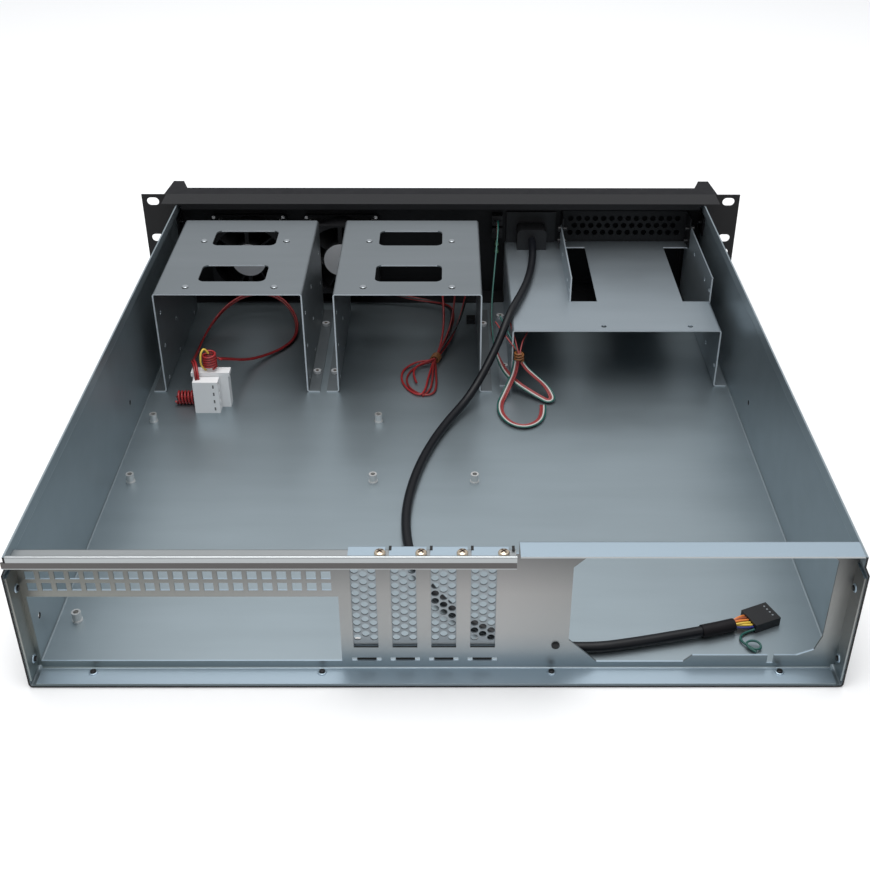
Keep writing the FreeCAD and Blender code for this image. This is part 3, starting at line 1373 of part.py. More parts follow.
def header_sockets():
    """Two rows of square sockets in the header plug's far end."""
    half = D.header_pin_hole / 2
    middle = D.header_plug_height / 2
    rows = [middle - D.header_pitch / 2, middle + D.header_pitch / 2]
    return [rectangle(across - half, across + half, row - half, row + half) for row in rows
            for across in [D.header_pitch * (column - 2) for column in range(HEADER_COLUMNS)]]


def usb_header_plug():
    """Flat two-row header plug; its leads enter the end towards the cable."""
    body = named("PartDesign::Body", "usb_header_plug")
    half = D.header_plug_width / 2
    middle = FreeCAD.Rotation(FreeCAD.Vector(0, 0, 1), 113.9)
    pad(body, "housing", "Y", [rectangle(-half, half, 0, D.header_plug_height)], 0, D.header_plug_length)
    pocket(body, "sockets", "Y", header_sockets(), D.header_plug_length - D.header_socket_depth,
           D.header_plug_length + 1)
    return put(body, -172.2, 197.6, FLOOR, middle)


def power_plug_front():
    """White four-way power plug lying on its edge, with four latch windows in its face."""
    body = named("PartDesign::Body", "power_plug_front")
    thick = D.plug_thickness
    housing = [(0, 0), (D.plug_length, 0), (D.plug_length, thick), (0, thick)]
    pad(body, "housing", "Z", [housing], 0, D.plug_width)
    first = D.plug_width / 2 - D.plug_pitch * 1.5
    window = rectangle(D.plug_window_setback, D.plug_window_setback + D.plug_window_width,
                       first - D.plug_window_height / 2, first + D.plug_window_height / 2)
    windows = pocket(body, "latch_window", "Y", [window], thick - D.plug_wall, thick + 1)
    repeat(body, "latch_windows", windows, ("V_Axis", D.plug_pitch, PLUG_WAYS))
    bore = pocket(body, "contact_bore", "X", [(thick / 2, first, D.plug_bore_radius)], -1, D.plug_bore_depth)
    repeat(body, "contact_bores", bore, ("V_Axis", D.plug_pitch, PLUG_WAYS))
    return put(body, PLUG_X, PLUG_BACK, FLOOR)


def power_plug_rear():
    """The mating plug, standing on its nose behind the first, with a collar where its leads enter."""
    body = named("PartDesign::Body", "power_plug_rear")
    half = D.plug_width / 2
    thick = D.plug_thickness
    pad(body, "housing", "Z", [rectangle(-half, half, -thick, 0)], 0, D.plug_stand)
    reach = half + D.plug_collar
    pad(body, "collar", "Z", [rectangle(-reach, reach, -thick, 0)], D.plug_stand - D.plug_collar_length,
        D.plug_stand)
    first = -D.plug_pitch * 1.5
    bore = pocket(body, "contact_bore", "Z", [(first, -thick / 2, D.plug_bore_radius)], -1, D.plug_bore_depth)
    repeat(body, "contact_bores", bore, ("H_Axis", D.plug_pitch, PLUG_WAYS))
    return put(body, PLUG_X + D.plug_overhang, PLUG_BACK - D.plug_clearance, FLOOR)


def cylinder_between(label, start, end, radius):
    """Plain cylinder from one point to another, for the outer shape of wound leads or of a tie round them."""
    first = FreeCAD.Vector(*start)
    along = FreeCAD.Vector(*end) - first
    solid = named("Part::Feature", label)
    solid.Shape = Part.makeCylinder(radius.value, along.Length, first, along)
    return solid


def inner_hank():
    """Outer shape of the inner bundle's loops, flat on the floor beyond their tie."""
    middle = FreeCAD.Vector(12.1, -67.2, FLOOR.value)
    face = Part.Face(Part.Wire([Part.Ellipse(middle, D.hank_long.value, D.hank_short.value).toShape()]))
    face.rotate(middle, FreeCAD.Vector(0, 0, 1), 72)
    hank = named("Part::Feature", "inner_hank")
    hank.Shape = face.extrude(FreeCAD.Vector(0, 0, D.hank_height.value))
    return hank


# ---------------------------------------------------------------- writing

def check(nodes):
    """Stop if any object failed to compute or any node has no valid shape."""
    failed = [thing.Name for thing in document.Objects
              if "Invalid" in thing.State or "Error" in thing.State]
    if failed:
        raise RuntimeError("objects that failed: " + ", ".join(failed))
    for node in nodes:
        if node.Shape.isNull() or not node.Shape.isValid():
            raise RuntimeError("no valid shape: " + node.Label)


NODES = [
    chassis_tray(),
    rear_panel(),
    slot_blank(0),
    slot_blank(1),
    slot_blank(2),
    slot_blank(3),
    slot_screws(),
    sunk_screws("rear_panel_screws", rear_screw_places()),
    board_standoffs(),
    drive_cage("drive_cage_outer", D.cage_outer_x),
    drive_cage("drive_cage_inner", D.cage_inner_x),
    foot_screws("cage_screws", cage_screw_places(D.cage_outer_x) + cage_screw_places(D.cage_inner_x)),
    bay_bracket(),
    foot_screws("bracket_screws", bracket_screw_places()),
    bay_blank(),
    bay_blank_screws(),
    front_panel(),
    sunk_screws("front_side_screws", front_screw_places()),
    front_bezel(),
    end_cap("end_cap_left", 1),
    end_cap("end_cap_right", -1),
    bay_cover("large_bay_cover", D.large_bay_left, D.large_bay_width, D.large_bay_bottom, D.large_bay_height),
    bay_cover("small_bay_cover", D.small_bay_left, D.small_bay_width, D.small_bay_bottom, D.small_bay_height),
    fan_frame("fan_frame_outer", D.fan_outer_x),
    fan_frame("fan_frame_inner", D.fan_inner_x),
    fan_rotor("fan_rotor_outer", D.fan_outer_x),
    fan_rotor("fan_rotor_inner", D.fan_inner_x),
    fan_labels(),
    fan_screws(),
    push_button("power_button", D.power_height, D.power_button_radius),
    push_button("reset_button", D.reset_height, D.reset_button_radius),
    push_switch("power_switch", D.power_height),
    push_switch("reset_switch", D.reset_height),
    indicator_lamps(),
    usb_socket(),
    usb_holder(),
    tube("usb_cable", USB_CABLE, D.cable_radius),
    tube("usb_sleeve", USB_SLEEVE, D.sleeve_radius),
    header_leads(),
    usb_header_plug(),
    tube("lead_switch", SWITCH_LEAD, D.ribbon_radius),
    tube("lead_loop", LOOP_LEAD, D.ribbon_radius),
    cylinder_between("tie_front", (-56.9, -54.3, 25.0), (-56.9, -54.3, 33.0), D.tie_radius),
    tube("lead_outer", OUTER_LEAD, D.lead_radius),
    power_plug_front(),
    power_plug_rear(),
    cylinder_between("coil_outer", (161.8, -35.2, 29.0), (161.8, -35.2, 44.0), D.coil_radius),
    cylinder_between("coil_side", (174.1, -34.6, 6.5), (188.6, -34.6, 6.5), D.coil_radius),
    tube("lead_inner", INNER_LEAD, D.ribbon_radius),
    cylinder_between("tie_inner", (2.2, -97.6, 5.2), (4.7, -90.0, 5.2), D.tie_radius),
    inner_hank(),
]
document.recompute()
check(NODES)
os.makedirs("parts", exist_ok=True)
for node in NODES:
    node.Shape.exportStep(f"parts/{node.Label}.step")
    box = node.Shape.BoundBox
    print(node.Label, len(node.Shape.Solids), round(node.Shape.Volume),
          [round(edge, 1) for edge in (box.XMin, box.XMax, box.YMin, box.YMax, box.ZMin, box.ZMax)])
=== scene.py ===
"""Empty two-unit rackmount server case with its lid off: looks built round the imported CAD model."""

import math

import bpy
from mathutils import Matrix, Vector


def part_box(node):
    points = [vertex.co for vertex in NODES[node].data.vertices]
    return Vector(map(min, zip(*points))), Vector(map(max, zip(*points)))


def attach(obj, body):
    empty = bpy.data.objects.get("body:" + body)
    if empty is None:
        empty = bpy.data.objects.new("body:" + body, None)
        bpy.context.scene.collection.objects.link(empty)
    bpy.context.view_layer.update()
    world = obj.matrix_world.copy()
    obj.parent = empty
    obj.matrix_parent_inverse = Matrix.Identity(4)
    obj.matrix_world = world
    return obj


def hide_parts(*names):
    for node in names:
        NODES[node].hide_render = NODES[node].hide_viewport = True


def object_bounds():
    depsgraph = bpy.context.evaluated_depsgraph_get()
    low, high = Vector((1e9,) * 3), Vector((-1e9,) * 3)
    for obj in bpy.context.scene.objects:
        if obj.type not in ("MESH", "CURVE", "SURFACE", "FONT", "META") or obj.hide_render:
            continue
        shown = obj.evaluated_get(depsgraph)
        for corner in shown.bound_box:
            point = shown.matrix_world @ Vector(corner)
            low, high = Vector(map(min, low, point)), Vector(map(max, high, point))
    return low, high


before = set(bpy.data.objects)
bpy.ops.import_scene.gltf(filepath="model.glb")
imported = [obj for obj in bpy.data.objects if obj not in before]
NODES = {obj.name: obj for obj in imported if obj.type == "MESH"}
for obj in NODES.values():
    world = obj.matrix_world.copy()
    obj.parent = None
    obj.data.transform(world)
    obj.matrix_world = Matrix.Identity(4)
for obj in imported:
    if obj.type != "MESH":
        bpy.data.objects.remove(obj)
cad_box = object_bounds()
MM = 0.001

# ---------------------------------------------------------------- materials


def new_material(name, colour, roughness, metallic=0.0, specular=0.5):
    """Principled material with one base colour. Returns the material and its shader node."""
    material = bpy.data.materials.new(name)
    material.use_nodes = True
    shader = material.node_tree.nodes["Principled BSDF"]
    shader.inputs["Base Color"].default_value = (*colour, 1)
    shader.inputs["Roughness"].default_value = roughness
    shader.inputs["Metallic"].default_value = metallic
    shader.inputs["Specular IOR Level"].default_value = specular
    return material, shader


NOISE_LOW, NOISE_HIGH = 0.3, 0.7    # part of a noise texture's values that is spread over the whole range


def noise(material, scale, detail=3.0, stretch=(1, 1, 1)):
    """Noise texture on object coordinates, stretched along the axes."""
    tree = material.node_tree
    coordinates = tree.nodes.new("ShaderNodeTexCoord")
    mapping = tree.nodes.new("ShaderNodeMapping")
    mapping.inputs["Scale"].default_value = stretch
    texture = tree.nodes.new("ShaderNodeTexNoise")
    texture.inputs["Scale"].default_value = scale
    texture.inputs["Detail"].default_value = detail
    tree.links.new(coordinates.outputs["Object"], mapping.inputs["Vector"])
    tree.links.new(mapping.outputs["Vector"], texture.inputs["Vector"])
    return texture


def vary_colour(material, shader, texture, dark, light):
    """Base colour running from dark to light with a texture."""
    ramp = material.node_tree.nodes.new("ShaderNodeValToRGB")
    ramp.color_ramp.elements[0].position = NOISE_LOW
    ramp.color_ramp.elements[0].color = (*dark, 1)
    ramp.color_ramp.elements[1].position = NOISE_HIGH
    ramp.color_ramp.elements[1].color = (*light, 1)
    material.node_tree.links.new(texture.outputs["Fac"], ramp.inputs["Fac"])
    material.node_tree.links.new(ramp.outputs["Color"], shader.inputs["Base Color"])


def vary_roughness(material, shader, texture, low, high):
    """Roughness running from low to high with a texture."""
    spread = material.node_tree.nodes.new("ShaderNodeMapRange")
    spread.inputs["From Min"].default_value = NOISE_LOW
    spread.inputs["From Max"].default_value = NOISE_HIGH
    spread.inputs["To Min"].default_value = low
    spread.inputs["To Max"].default_value = high
    material.node_tree.links.new(texture.outputs["Fac"], spread.inputs["Value"])
    material.node_tree.links.new(spread.outputs["Result"], shader.inputs["Roughness"])


def roughen(material, shader, texture, strength, distance):
    """Fine relief from a texture."""
    bump = material.node_tree.nodes.new("ShaderNodeBump")
    bump.inputs["Strength"].default_value = strength
    bump.inputs["Distance"].default_value = distance
    material.node_tree.links.new(texture.outputs["Fac"], bump.inputs["Height"])
    material.node_tree.links.new(bump.outputs["Normal"], shader.inputs["Normal"])


METAL = 0.85                        # metallic share of bare zinc-plated sheet
PANEL_HEIGHTS = (0, 0.088)          # reach of the rear panel's painted shade and light ramps, in metres
PANEL_SIDES = (-0.213, 0.213)


def galvanised(name, dark, light, low, high):
    """Galvanised sheet: soft rolling streaks in the colour and a roughness that drifts."""
    material, shader = new_material(name, light, low, metallic=METAL)
    vary_colour(material, shader, noise(material, 60, stretch=(0.15, 1.0, 1.0)), dark, light)
    vary_roughness(material, shader, noise(material, 14), low, high)
    return material


def shaded_sheet(name, heights, sides, roughness):
    """Galvanised sheet with painted light and shade: its tone changes softly with height and towards one side."""
    material, shader = new_material(name, heights[-1][1], roughness, metallic=METAL)
    tree = material.node_tree
    coordinates = tree.nodes.new("ShaderNodeTexCoord")
    split = tree.nodes.new("ShaderNodeSeparateXYZ")
    tree.links.new(coordinates.outputs["Object"], split.inputs["Vector"])
    mix = tree.nodes.new("ShaderNodeMix")
    mix.data_type = "RGBA"
    mix.blend_type = "MULTIPLY"
    mix.inputs["Factor"].default_value = 1
    first, second = (socket for socket in mix.inputs if socket.type == "RGBA")
    for axis, stops, reach, socket in (("Z", heights, PANEL_HEIGHTS, first), ("X", sides, PANEL_SIDES, second)):
        spread = tree.nodes.new("ShaderNodeMapRange")
        spread.inputs["From Min"].default_value = reach[0]
        spread.inputs["From Max"].default_value = reach[1]
        ramp = tree.nodes.new("ShaderNodeValToRGB")
        while len(ramp.color_ramp.elements) < len(stops):
            ramp.color_ramp.elements.new(0.5)
        for element, (place, colour) in zip(ramp.color_ramp.elements, stops):
            element.position = place
            element.color = (*colour, 1)
        tree.links.new(split.outputs[axis], spread.inputs["Value"])
        tree.links.new(spread.outputs["Result"], ramp.inputs["Fac"])
        tree.links.new(ramp.outputs["Color"], socket)
    mixed = next(socket for socket in mix.outputs if socket.type == "RGBA")
    tree.links.new(mixed, shader.inputs["Base Color"])
    return material


def powder_coat(name, colour, roughness):
    """Fine textured black coat."""
    material, shader = new_material(name, colour, roughness, specular=0.25)
    roughen(material, shader, noise(material, 2600, detail=2.0), strength=0.35, distance=0.0002)
    return material


def plastic(name, colour, roughness, specular=0.5):
    """Moulded plastic with a very slight drift in its roughness."""
    material, shader = new_material(name, colour, roughness, specular=specular)
    vary_roughness(material, shader, noise(material, 120, detail=2.0), roughness - 0.04, roughness + 0.04)
    return material


STEEL = galvanised("galvanised_steel", (0.315, 0.372, 0.402), (0.335, 0.395, 0.428), 0.34, 0.40)
# Painted shade darkens the rear panel high up, under its top flanges, and painted light dims it towards its sides
PANEL_PAINTED_SHADE = shaded_sheet(
    "rear_panel_painted_shade",
    [(0.05, (0.33, 0.38, 0.41)), (0.30, (0.39, 0.395, 0.395)),
     (0.60, (0.335, 0.33, 0.325)), (0.90, (0.16, 0.16, 0.16))],
    [(0.05, (0.66, 0.68, 0.67)), (0.32, (0.78, 0.80, 0.80)), (0.42, (1, 1, 1)),
     (0.62, (0.84, 0.86, 0.86)), (0.92, (0.64, 0.66, 0.62))], 0.38)
# Painted light: lighter, bluer steel for faces that face up, the slot covers' tab tops and the screws' pressed rings
UP_LIT_STEEL, _ = new_material("up_lit_steel", (0.38, 0.47, 0.54), 0.40, metallic=0.80)
# Painted highlight on the roll over the card slots, along its hem line and on the low flange's top
SHEEN_STEEL, _ = new_material("sheen_steel", (0.385, 0.405, 0.41), 0.32, metallic=0.85)
# Painted shade on the rims of the slot covers' holes
RIM_SHADE_STEEL, _ = new_material("hole_rim_shade", (0.10, 0.115, 0.125), 0.50, metallic=0.60)
# Painted shade on the roll's underside and on the strip in front of its lower face
ROLL_SHADE_STEEL, _ = new_material("roll_painted_shade", (0.105, 0.100, 0.098), 0.40, metallic=0.80)
# Painted shade in the bends between the tray's floor and walls
BEND_SHADE_STEEL, _ = new_material("bend_painted_shade", (0.255, 0.30, 0.325), 0.50, metallic=0.80)
# Painted highlight on sheared edges that face the rear
EDGE_HIGHLIGHT_STEEL, _ = new_material("edge_highlight", (0.60, 0.64, 0.67), 0.45, metallic=0.50)
CAGE_STEEL = galvanised("cage_steel", (0.222, 0.248, 0.263), (0.236, 0.262, 0.279), 0.38, 0.44)
BRACKET_STEEL = galvanised("bracket_steel", (0.350, 0.400, 0.435), (0.370, 0.422, 0.458), 0.38, 0.44)
BLANK_STEEL = galvanised("slot_cover_steel", (0.250, 0.280, 0.300), (0.270, 0.300, 0.320), 0.38, 0.44)
COAT = powder_coat("black_coat", (0.007, 0.007, 0.008), 0.50)
BEZEL = plastic("bezel_plastic", (0.010, 0.010, 0.0118), 0.55, 0.12)
BLACK = plastic("black_plastic", (0.008, 0.008, 0.009), 0.42, 0.40)
FOAM, _ = new_material("filter_foam", (0.006, 0.006, 0.006), 0.95, specular=0.1)
SCREW_STEEL, _ = new_material("screw_steel", (0.70, 0.70, 0.68), 0.28, metallic=0.70)
FOOT_SCREW, _ = new_material("foot_screw_steel", (0.62, 0.63, 0.64), 0.30, metallic=0.25)
SCREW_BLACK, _ = new_material("black_screw", (0.020, 0.020, 0.021), 0.32, metallic=0.6)
SCREW_BRASSY, _ = new_material("brassy_screw", (0.66, 0.55, 0.42), 0.26, metallic=0.85)
STANDOFF, _ = new_material("standoff_steel", (0.70, 0.70, 0.69), 0.30, metallic=0.8)
LABEL, _ = new_material("hub_label", (0.62, 0.63, 0.65), 0.40, metallic=0.2)
WHITE = plastic("white_nylon", (0.74, 0.745, 0.75), 0.38)
CABLE = plastic("black_cable", (0.0035, 0.0042, 0.0062), 0.40, 0.28)
SLEEVE = plastic("black_sleeve", (0.0060, 0.0048, 0.0062), 0.60, 0.22)
BUTTON = plastic("button_plastic", (0.040, 0.040, 0.043), 0.28)
LAMP = plastic("lamp_lens", (0.10, 0.22, 0.12), 0.15)
SOCKET, _ = new_material("socket_steel", (0.58, 0.58, 0.56), 0.25, metallic=1.0)
WIRE_RED = plastic("red_wire", (0.30, 0.018, 0.020), 0.38)
RIBBON_RED = plastic("ribbon_red", (0.27, 0.040, 0.040), 0.42)
RIBBON_WHITE = plastic("ribbon_white", (0.52, 0.50, 0.48), 0.42)
WIRE_DARK_RED = plastic("dark_red_wire", (0.20, 0.016, 0.016), 0.40)
WIRE_BLACK = plastic("black_wire", (0.012, 0.011, 0.012), 0.35)
WIRE_YELLOW = plastic("yellow_wire", (0.72, 0.50, 0.07), 0.38)
WIRE_ORANGE = plastic("orange_wire", (0.72, 0.22, 0.05), 0.38)
WIRE_BROWN = plastic("brown_wire", (0.34, 0.10, 0.05), 0.38)
WIRE_BLUE = plastic("blue_wire", (0.015, 0.02, 0.16), 0.38)
WIRE_GREEN = plastic("green_wire", (0.010, 0.085, 0.070), 0.35)
TIE = plastic("tie_plastic", (0.20, 0.075, 0.020), 0.40)
# Painted shade: black for the gaps round the slot covers, the tongues in their slits and the crescents beside the
# cage studs
PAINTED_SHADE_BLACK, _ = new_material("painted_shade_black", (0.010, 0.010, 0.010), 0.8)
# Painted shade in the screws' cross recesses and head recesses
RECESS_SHADE, _ = new_material("screw_recess_shade", (0.06, 0.035, 0.02), 0.5)
# Painted highlight: pressed studs lighter than the cage tops; the header plug's windows share it
STUD, _ = new_material("pressed_stud", (0.40, 0.43, 0.45), 0.30, metallic=0.85)
WINDOW, _ = new_material("plug_window", (0.12, 0.12, 0.12), 0.6)

NODE_MATERIALS = {
    "rear_panel": PANEL_PAINTED_SHADE, "slot_screws": SCREW_BRASSY, "rear_panel_screws": SCREW_BLACK,
    "board_standoffs": STANDOFF, "cage_screws": FOOT_SCREW, "bracket_screws": FOOT_SCREW,
    "drive_cage_outer": CAGE_STEEL, "drive_cage_inner": CAGE_STEEL, "bay_bracket": BRACKET_STEEL,
    "bay_blank": COAT, "bay_blank_screws": SCREW_BLACK, "front_panel": COAT,
    "front_side_screws": SCREW_BLACK, "front_bezel": BEZEL, "end_cap_left": BEZEL, "end_cap_right": BEZEL,
    "large_bay_cover": BEZEL, "small_bay_cover": BEZEL, "fan_frame_outer": BLACK, "fan_frame_inner": BLACK,
    "fan_rotor_outer": BLACK, "fan_rotor_inner": BLACK, "fan_labels": LABEL, "fan_screws": SCREW_STEEL,
    "power_button": BUTTON, "reset_button": BUTTON, "power_switch": BLACK, "reset_switch": BLACK,
    "indicator_lamps": LAMP, "usb_socket": SOCKET, "usb_holder": BLACK, "usb_cable": CABLE,
    "usb_sleeve": SLEEVE, "usb_header_plug": BLACK, "power_plug_front": WHITE, "power_plug_rear": WHITE,
}


# Depths and heights that pick out the faces of sheet pieces, in metres
UNDERSIDE = 0.8 * MM                # the tray's underside lies within this of its lowest level
WALL_DEPTH = 8 * MM                 # the joggled wall's outer faces lie within this of the side
EDGE_DEPTH = 0.1 * MM
HOLE_BAND = (15 * MM, 30 * MM)      # heights of the holes in the walls
HOLE_FACE = 3e-6                    # a hole's rim has faces smaller than this, in square metres
BEND_TOP = 4 * MM                   # the bends between floor and walls lie lower than this
ROLL_DEPTH = 3 * MM
ROLL_HEIGHT = 10 * MM
LOW_FLANGE_DROP = 4.9 * MM          # high top flange of the rear panel to its low one
FLANGE_BAND = 0.3 * MM
TONGUE_TOP = 12 * MM
PLATE_TOP = 78 * MM
TAB_LEVEL = 82 * MM
HEAD_REACH = 8 * MM                 # points nearer than this are of the same screw's head


def coat_outside(tray):
    """Black coat on the tray's outer faces, rear edge and hole rims, and painted shade along its bends."""
    low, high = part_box("chassis_tray")
    floor_top = low.z + UNDERSIDE
    wall = high.x - WALL_DEPTH
    tray.data.materials.append(COAT)
    tray.data.materials.append(BEND_SHADE_STEEL)
    for face in tray.data.polygons:
        outward = face.normal.x * math.copysign(1, face.center.x)
        under = face.normal.z < -0.5 and face.center.z < floor_top
        rear_edge = face.normal.y > 0.9 and face.center.y > high.y - EDGE_DEPTH
        rim = abs(face.normal.x) < 0.2 and face.area < HOLE_FACE and HOLE_BAND[0] < face.center.z < HOLE_BAND[1]
        if under or rear_edge or rim or (outward > 0.5 and abs(face.center.x) > wall):
            face.material_index = 1
        elif 0.15 < face.normal.z < 0.97 and face.center.z < BEND_TOP and outward < -0.1:
            face.material_index = 2


def finish_panel(panel):
    """Rear panel: painted light on the lips that face up, a painted highlight on the roll over the card slots and on
    the low flange's top, and painted shade on the rest of the roll.
    """
    for finish in (UP_LIT_STEEL, ROLL_SHADE_STEEL, SHEEN_STEEL):
        panel.data.materials.append(finish)
    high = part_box("rear_panel")[1]
    for face in panel.data.polygons:
        up = face.normal.z > 0.9
        roll = face.center.y > high.y - ROLL_DEPTH and face.center.z > high.z - ROLL_HEIGHT
        low_flange = abs(face.center.z - high.z + LOW_FLANGE_DROP) <= FLANGE_BAND
        if up and not low_flange and not roll:
            face.material_index = 1
        elif up or (roll and (face.normal.y > 0.5 or face.normal.z > 0)):
            face.material_index = 3
        elif roll:
            face.material_index = 2


def highlight_rear_edges(piece):
    """Painted highlight on a sheet piece's sheared edges where they face the rear of the case."""
    piece.data.materials.append(EDGE_HIGHLIGHT_STEEL)
    for face in piece.data.polygons:
        if face.normal.y > 0.95:
            face.material_index = 1


def dark_tongue(blank):
    """Slot cover with painted light on its tab's top, painted shade on the rims of its holes and a painted shadow on
    the tongue in its slit.
    """
    for finish in (PAINTED_SHADE_BLACK, UP_LIT_STEEL, RIM_SHADE_STEEL):
        blank.data.materials.append(finish)
    for face in blank.data.polygons:
        if face.center.z < TONGUE_TOP:
            face.material_index = 1
        elif abs(face.normal.y) < 0.5 and face.center.z < PLATE_TOP:
            face.material_index = 3
        elif face.normal.z > 0.9 and face.center.z > TAB_LEVEL:
            face.material_index = 2


for node_name, node in NODES.items():
    finish = NODE_MATERIALS.get(node_name, BLANK_STEEL if node_name.startswith("slot_blank") else STEEL)
    node.data.materials.clear()
    node.data.materials.append(finish)
coat_outside(NODES["chassis_tray"])
finish_panel(NODES["rear_panel"])
for sheet_piece in ("drive_cage_outer", "drive_cage_inner", "bay_bracket"):
    highlight_rear_edges(NODES[sheet_piece])
for slot in range(1, 5):
    dark_tongue(NODES[f"slot_blank_{slot}"])

# ---------------------------------------------------------------- small fittings

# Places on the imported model, in millimetres
REAR = 243.4                        # rear edge of the tray
WALL_FACE = 212.7                   # outer faces of the tray's walls
PANEL_SCREW_INSET = 8.8
FLOOR_SCREWS = (-181.1, -60.5, 60.5, 181.1)
WALL_SCREWS = (12.0, 60.0)
SLOT_PITCH = 20.32
SLOT_SCREWS = [27.6 - SLOT_PITCH * number for number in range(4)]
SLOT_SCREW_INSET = 8
TAB_TOP = 82.8
STUB_PLACE = (-62.2, 230.9, 17.9)
CAGE_CENTRES = (147.5, 22.7)
CAGE_TOP = 80.5
STUD_SIDE = 31.2
STUD_ROWS = (-139.7, -62.0)
STUD_SHADE_SHIFT = 0.7
PLUG_WINDOW_HEIGHTS = (4.5, 10.5, 16.5, 22.5)
FAN_SCREWS = (183.1, 127.3, 108.5, 52.7)
FAN_SCREW_Y = -203.0
FAN_SCREW_TOP = 71.9

# Plain boxes, each by its low and its high corner
TAB_GAP_SHADOW = ((-5.6, 229.3, 82.7), (-4.2, 232.9, 82.88))       # painted shadow in a tab's gap, from a slot screw
FOOT_GAP_SHADOW = ((30.5, 230.9, 16.3), (43.4, 231.02, 17.3))      # painted shadow in the foot gap of the first slot
# Painted shade under the roll, and a painted highlight line along its hem
ROLL_SHADE = ((-39.5, 242.6, 79.9), (211.4, 243.46, 83.4))
HEM_HIGHLIGHT_LINE = ((-39.5, 242.5, 79.5), (211.4, 243.48, 79.95))
PLUG_WINDOW = ((158.2, -22.2, -1.3), (159.3, -22.06, 1.3))  # from a window's middle height
FLOOR_BLACK_BOX = ((-27.5, -163.5, 1.1), (-20.5, -155.5, 5.0))
DUST_FILTER = ((31.0, -219.0, 7.0), (204.5, -217.4, 82.0))

# Turned profiles, as radius and height
PANEL_SCREW = [(0.01, 0), (2.8, 0), (1.5, 1), (1.5, 3.3), (1.1, 3.6), (0.01, 3.6)]
SCREW_RING = [(1.6, 2.0), (2.5, 2.0), (2.3, 2.5), (1.8, 2.7), (1.6, 2.6)]
SLOT_SCREW = [(0.01, -4.8), (1.5, -4.8), (1.5, 0), (2.9, 0), (2.9, 0.7), (2.5, 1.3), (1.6, 1.8), (0.01, 2)]
PANEL_STUB = [(0.01, -0.8), (2.1, -0.8), (2.1, 1.0), (1.7, 1.3), (0.01, 1.3)]
CAGE_STUD = [(0.01, 0), (2.3, 0), (2.3, 0.4), (1.9, 0.8), (0.01, 0.8)]
STUD_SHADE = [(0.01, 0), (2.35, 0), (2.35, 0.12), (0.01, 0.12)]
FOOT_RECESS = [(0.01, -0.2), (1.2, -0.2), (1.2, 0.06), (0.01, 0.06)]
FAN_SCREW_TIP = [(0.01, 0), (1.3, 0), (1.3, 1.4), (0.9, 1.8), (0.01, 1.8)]
HEADER_WINDOW = [(0.01, -0.3), (0.55, -0.3), (0.55, 0.05), (0.01, 0.05)]

# Cross recess of a slot screw
RECESS_TURNS = (math.radians(40), math.radians(130))
RECESS_LEVELS = (1.6, 2.03)
RECESS_REACH = 1.7
RECESS_HALF_WIDTH = 0.42

TURN_STEPS = 24                     # points round a turned shape
UP = (0, 0, 1)
CORNERS = ((-1, -1), (1, -1), (1, 1), (-1, 1))
BOX_FACES = ((3, 2, 1, 0), (4, 5, 6, 7), (0, 1, 5, 4), (1, 2, 6, 5), (2, 3, 7, 6), (3, 0, 4, 7))


def add_mesh(name, points, faces, finish, smooth=False):
    """New mesh from points in millimetres, moving with the case."""
    mesh = bpy.data.meshes.new(name)
    mesh.from_pydata([Vector(point) * MM for point in points], [], faces)
    mesh.materials.append(finish)
    mesh.polygons.foreach_set("use_smooth", [smooth] * len(faces))
    mesh.update()
    piece = bpy.data.objects.new(name, mesh)
    bpy.context.scene.collection.objects.link(piece)
    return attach(piece, "case")


def box_faces(first):
    """Faces of a box whose lower four points and then upper four start at a given index."""
    return [tuple(first + corner for corner in face) for face in BOX_FACES]


def shifted(corners, x=0.0, z=0.0):
    """A box's two corners, moved along X and Z."""
    return [(corner[0] + x, corner[1], corner[2] + z) for corner in corners]


def boxes(name, corners, finish):
    """One mesh of plain boxes, each given by its low and its high corner."""
    points, faces = [], []
    for low, high in corners:
        faces += box_faces(len(points))
        points += [(x, y, z) for z in (low[2], high[2]) for x, y in
                   ((low[0], low[1]), (high[0], low[1]), (high[0], high[1]), (low[0], high[1]))]
    return add_mesh(name, points, faces, finish)


def turned(name, places, profile, finish):
    """One mesh of turned shapes: a closed profile of (radius, height) about each (centre, direction)."""
    points, faces = [], []
    count = len(profile)
    for centre, direction in places:
        axis = Vector(direction)
        side = axis.orthogonal().normalized()
        over = axis.cross(side)
        first = len(points)
        for step in range(TURN_STEPS):
            turn = math.tau * step / TURN_STEPS
            out = side * math.cos(turn) + over * math.sin(turn)
            points += [Vector(centre) + out * radius + axis * height for radius, height in profile]
        for step in range(TURN_STEPS):
            here, beyond = first + step * count, first + (step + 1) % TURN_STEPS * count
            faces += [(here + index, beyond + index, beyond + (index + 1) % count, here + (index + 1) % count)
                      for index in range(count)]
    return add_mesh(name, points, faces, finish)


def panel_screws():
    """Black screws of the rear panel, each with a short tip through a pressed ring made pale with painted light."""
    along = REAR - PANEL_SCREW_INSET
    floor = [((x, along, 0), UP) for x in FLOOR_SCREWS]
    walls = [((side * WALL_FACE, along, z), (-side, 0, 0)) for side in (1, -1) for z in WALL_SCREWS]
    screws = turned("panel_screws", floor + walls, PANEL_SCREW, SCREW_BLACK)
    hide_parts("rear_panel_screws")
    turned("panel_screw_rings", floor + walls, SCREW_RING, UP_LIT_STEEL)


